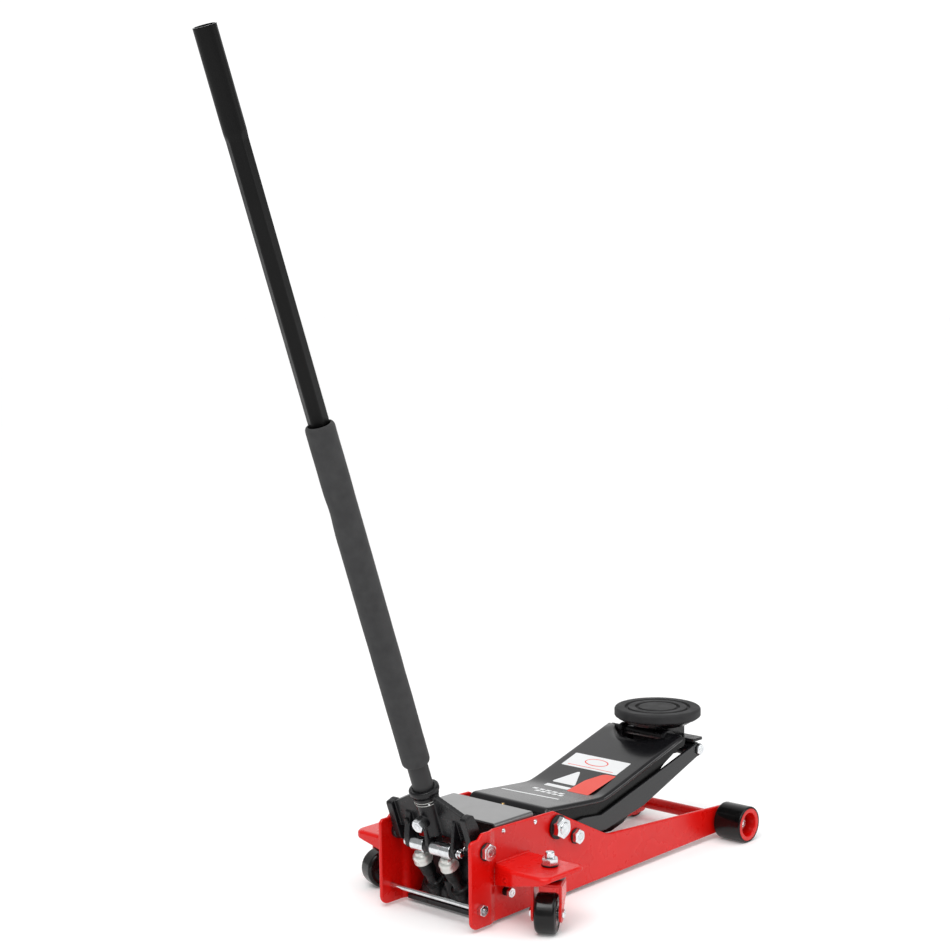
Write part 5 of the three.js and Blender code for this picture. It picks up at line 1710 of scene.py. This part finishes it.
@dataclass
class Handle(Maker):
    """The two-piece handle with its foam grip."""

    body: str = "handle"
    radius: float = 12.7
    wall: float = 1.8
    joint: float = 442.0
    hex_end: float = 873.0
    top: float = 983.5
    foam_start: float = 109.0
    foam_end: float = 546.0
    foam_radius: float = 17.5
    facet_turn: float = 10.0

    def build(self) -> None:
        """Makes both tubes and the grip."""
        self.lower_tube()
        self.upper_tube()
        self.grip()

    def lower_tube(self) -> None:
        """The lower tube with its clamp groove and tongue."""
        inside = self.radius - self.wall
        shell = Shell().turned([
            (5.4, -12), (5.4, 16.3), (11.9, 16.3), (self.radius, 17.3), (self.radius, 29),
            (self.radius - 1, 30), (self.radius - 1, 40), (self.radius, 41),
            (self.radius, self.joint), (inside, self.joint), (inside, 22.3), (4, 22.3)],
            DRAWING.handle(), 64)
        self.make("lower_tube", shell, TUBE, ["lower_handle"], Edges(0.25))

    def section(self, z: float, shape: float, inset: float = 0.0) -> list[Vector]:
        """One cross-section of the upper tube.

        Args:
            z: Its place along the handle.
            shape: 0 for six-sided, 1 for round.
            inset: How far it lies inside the tube's skin.

        Returns:
            The section's points in the drawing.
        """
        place = DRAWING.handle()
        points = []
        corner_round = 0.955
        for k in range(72):
            turn = 2 * math.pi * k / 72
            local = (turn - math.radians(self.facet_turn)) % (math.pi / 3) - math.pi / 6
            flat = self.radius * math.cos(math.pi / 6) / math.cos(local)
            six = min(flat, self.radius * corner_round)
            r = six * (1 - shape) + self.radius * shape - inset
            points.append(place @ Vector((r * math.cos(turn), r * math.sin(turn), z)))
        return points

    def upper_tube(self) -> None:
        """The upper tube: six-sided, then round and open at the top, with a bright cut end."""
        start = self.joint + 0.3
        loops = [self.section(start, 0.0), self.section(self.hex_end - 9, 0.0)]
        loops += [self.section(self.hex_end - 9 + 11 * k / 6, smooth_step(k / 6))
                  for k in range(1, 7)]
        loops += [self.section(self.top - 0.5, 1.0), self.section(self.top, 1.0, 0.45),
                  self.section(self.top, 1.0, self.wall - 0.2),
                  self.section(self.top - 0.6, 1.0, self.wall),
                  self.section(self.hex_end + 30, 1.0, self.wall),
                  self.section(self.hex_end, 1.0, self.wall + 2.2)]
        shell = Shell().loops(loops)
        spigot = self.radius - self.wall - 0.3
        shell.turned([(spigot, start - 55), (spigot, start + 2)], DRAWING.handle(), 48)
        self.make("upper_tube", shell, SATIN, ["upper_handle"], Edges(0), body="handle_top")
        rim = Shell().turned([
            (self.radius - 0.35, self.top - 0.15), (self.radius - 0.5, self.top + 0.05),
            (self.radius - self.wall + 0.3, self.top + 0.05),
            (self.radius - self.wall + 0.15, self.top - 0.15)], DRAWING.handle(), 72, ring=True)
        self.make("upper_tube_cut_rim", rim, ZINC, edges=Edges(0), body="handle_top")

    def grip_radius(self, z: float, turn: float) -> float:
        """The grip's radius at a place along it and an angle round it.

        Args:
            z: The place along the handle.
            turn: The angle round the handle.

        Returns:
            The radius, with rolled ends, slow swellings and shallow finger dents.
        """
        length = 5.5
        low = min(1.0, max(0.0, (z - self.foam_start) / length))
        high = min(1.0, max(0.0, (self.foam_end - z) / length))
        edge = min(math.sqrt(1 - (1 - low) ** 2), math.sqrt(1 - (1 - high) ** 2))
        spot = Vector((math.cos(turn) * 1.3, math.sin(turn) * 1.3, z / 42))
        swell = 0.22 * noise.noise(spot) + 0.10 * noise.noise(spot * 3.1)
        around = math.cos(turn - math.radians(160))
        dent = 1.3 * math.exp(-((z - 442) / 16) ** 2) * max(0.0, around) ** 3
        return self.foam_radius - 2.6 * (1 - edge) - 0.25 + swell - dent

    def grip(self) -> None:
        """The foam sleeve: a soft tube with rolled ends that is pulled over the handle."""
        place = DRAWING.handle()
        start, end = self.foam_start, self.foam_end
        fine = [0.0, 0.4, 1.0, 1.9, 3.0, 4.3, 5.8]
        inner = [start + 8 + (end - start - 16) * k / 90 for k in range(91)]
        stations = [start + f for f in fine] + inner + [end - f for f in reversed(fine)]
        segments = 64
        turns = [2 * math.pi * k / segments for k in range(segments)]
        bore = self.radius + 0.25
        rows = [[place @ Vector((bore * math.cos(t), bore * math.sin(t), start)) for t in turns]]
        for z in stations:
            row = []
            for t in turns:
                r = self.grip_radius(z, t)
                row.append(place @ Vector((r * math.cos(t), r * math.sin(t), z)))
            rows.append(row)
        rows.append([place @ Vector((bore * math.cos(t), bore * math.sin(t), end))
                     for t in turns])
        shell = Shell().loops(rows, capped=False)
        grip = self.make("foam_sleeve", shell, FOAM, ["foam_grip"], Edges(0))


# ---------------------------------------------------------------- studio
@dataclass
class Studio:
    """A plain pale floor, soft light and the camera."""

    camera_place: tuple[float, float, float] = (-1.54873, -1.49483, 0.75629)
    azimuth: float = -47.7223
    elevation: float = 8.3363
    roll: float = -0.0111
    lens: float = 69.997
    rise: float = 0.0895
    sky_range: tuple[float, ...] = (0.45, 0.92, 0.34, 1.08)
    floor_reach: float = 40.0
    floor_shade: float = 0.94
    floor_glow: float = 0.09
    sun: float = 1.9
    sun_spread: float = 75.0
    aim: Corner = (0.05, 0.0, 0.15)
    key: tuple[Corner, float, float] = ((-1.1, -0.5, 1.9), 0.9, 12.0)
    fill: tuple[Corner, float, float] = ((1.4, -1.7, 0.9), 0.8, 6.0)

    def build(self) -> None:
        """Makes the floor, lights and camera."""
        self.floor()
        self.sky()
        self.lamps()
        self.camera()

    def floor(self) -> None:
        """A wide pale floor under the wheels."""
        mesh = bpy.data.meshes.new("floor")
        reach = self.floor_reach
        mesh.from_pydata([(-reach, -reach, 0), (reach, -reach, 0), (reach, reach, 0),
                          (-reach, reach, 0)], [], [(0, 1, 2, 3)])
        floor = bpy.data.objects.new("floor", mesh)
        bpy.context.scene.collection.objects.link(floor)
        graph = Graph("pale_floor")
        shade = self.floor_shade
        graph.constants(Base_Color=(shade, shade, shade, 1.0), Roughness=0.9,
                        Specular_IOR_Level=0.1, Emission_Color=(1.0, 1.0, 1.0, 1.0),
                        Emission_Strength=self.floor_glow)
        mesh.materials.append(graph.material)

    def sky(self) -> None:
        """A surround that is white behind the jack and softly grey elsewhere."""
        world = bpy.data.worlds.new("surround")
        world.use_nodes = True
        tree = world.node_tree
        back = tree.nodes["Background"]
        back.inputs["Color"].default_value = (1.0, 1.0, 1.0, 1.0)
        spot = tree.nodes.new("ShaderNodeTexCoord")
        toward = tree.nodes.new("ShaderNodeVectorMath")
        toward.operation = "DOT_PRODUCT"
        turn = math.radians(self.azimuth)
        toward.inputs[1].default_value = (-math.sin(turn), math.cos(turn), 0.0)
        spread = tree.nodes.new("ShaderNodeMapRange")
        spread.interpolation_type = "SMOOTHSTEP"
        for name, value in zip(("From Min", "From Max", "To Min", "To Max"), self.sky_range):
            spread.inputs[name].default_value = value
        tree.links.new(spot.outputs["Generated"], toward.inputs[0])
        tree.links.new(toward.outputs["Value"], spread.inputs["Value"])
        tree.links.new(spread.outputs["Result"], back.inputs["Strength"])
        bpy.context.scene.world = world
        bpy.context.scene.view_settings.view_transform = "Standard"

    def lamp(self, name: str, place: tuple[float, float, float], size: float, power: float) -> None:
        """A soft square lamp that faces the jack.

        Args:
            name: The lamp's name.
            place: Where it hangs, in metres.
            size: The length of its sides, in metres.
            power: Its power, in watts.
        """
        data = bpy.data.lights.new(name, "AREA")
        data.shape = "SQUARE"
        data.size = size
        data.energy = power
        lamp = bpy.data.objects.new(name, data)
        lamp.location = place
        aim = Vector(self.aim) - Vector(place)
        lamp.rotation_euler = aim.to_track_quat("-Z", "Y").to_euler()
        bpy.context.scene.collection.objects.link(lamp)

    def lamps(self) -> None:
        """A wide overhead source, a key lamp over the rear and a fill from the front right."""
        data = bpy.data.lights.new("overhead", "SUN")
        data.energy = self.sun
        data.angle = math.radians(self.sun_spread)
        lamp = bpy.data.objects.new("overhead", data)
        lamp.rotation_euler = Vector((0.30, 0.25, -1.0)).to_track_quat("-Z", "Y").to_euler()
        bpy.context.scene.collection.objects.link(lamp)
        self.lamp("key", *self.key)
        self.lamp("fill", *self.fill)

    def camera(self) -> None:
        """The camera, aimed with a slight rise of the frame."""
        data = bpy.data.cameras.new("camera")
        data.sensor_width = 36.0
        data.lens = self.lens
        data.shift_y = self.rise
        data.clip_start, data.clip_end = 0.05, 200.0
        camera = bpy.data.objects.new("camera", data)
        a, e = math.radians(self.azimuth), math.radians(self.elevation)
        back = Vector((math.sin(a) * math.cos(e), -math.cos(a) * math.cos(e), math.sin(e)))
        right = Vector((math.cos(a), math.sin(a), 0))
        up = back.cross(right)
        c, s = math.cos(self.roll), math.sin(self.roll)
        right, up = right * c + up * s, up * c - right * s
        axes = Matrix((right, up, back)).transposed().to_4x4()
        shift = Vector((DRAWING.shift(), 0, 0))
        camera.matrix_world = Matrix.Translation(Vector(self.camera_place) + shift) @ axes
        bpy.context.scene.collection.objects.link(camera)
        bpy.context.scene.camera = camera


def main() -> None:
    """Builds each sub-assembly in order, then the studio."""
    logging.basicConfig(level=logging.INFO, format="%(name)s: %(message)s")
    builders = [Chassis(), LiftArm(), Links(body="link_right"), Saddle(body="saddle"), Pump(),
                Socket(), Handle()]
    for side in Side:
        builders.append(FrontRoller(body=f"front_roller_{side.ending}", side=side))
        builders.append(Caster(body="frame", side=side))
    for builder in builders:
        builder.build()
    spindle = Maker(body="release")
    spindle.soften_node("release_spindle", CAST)
    Studio().build()


if __name__ == "__main__":
    main()
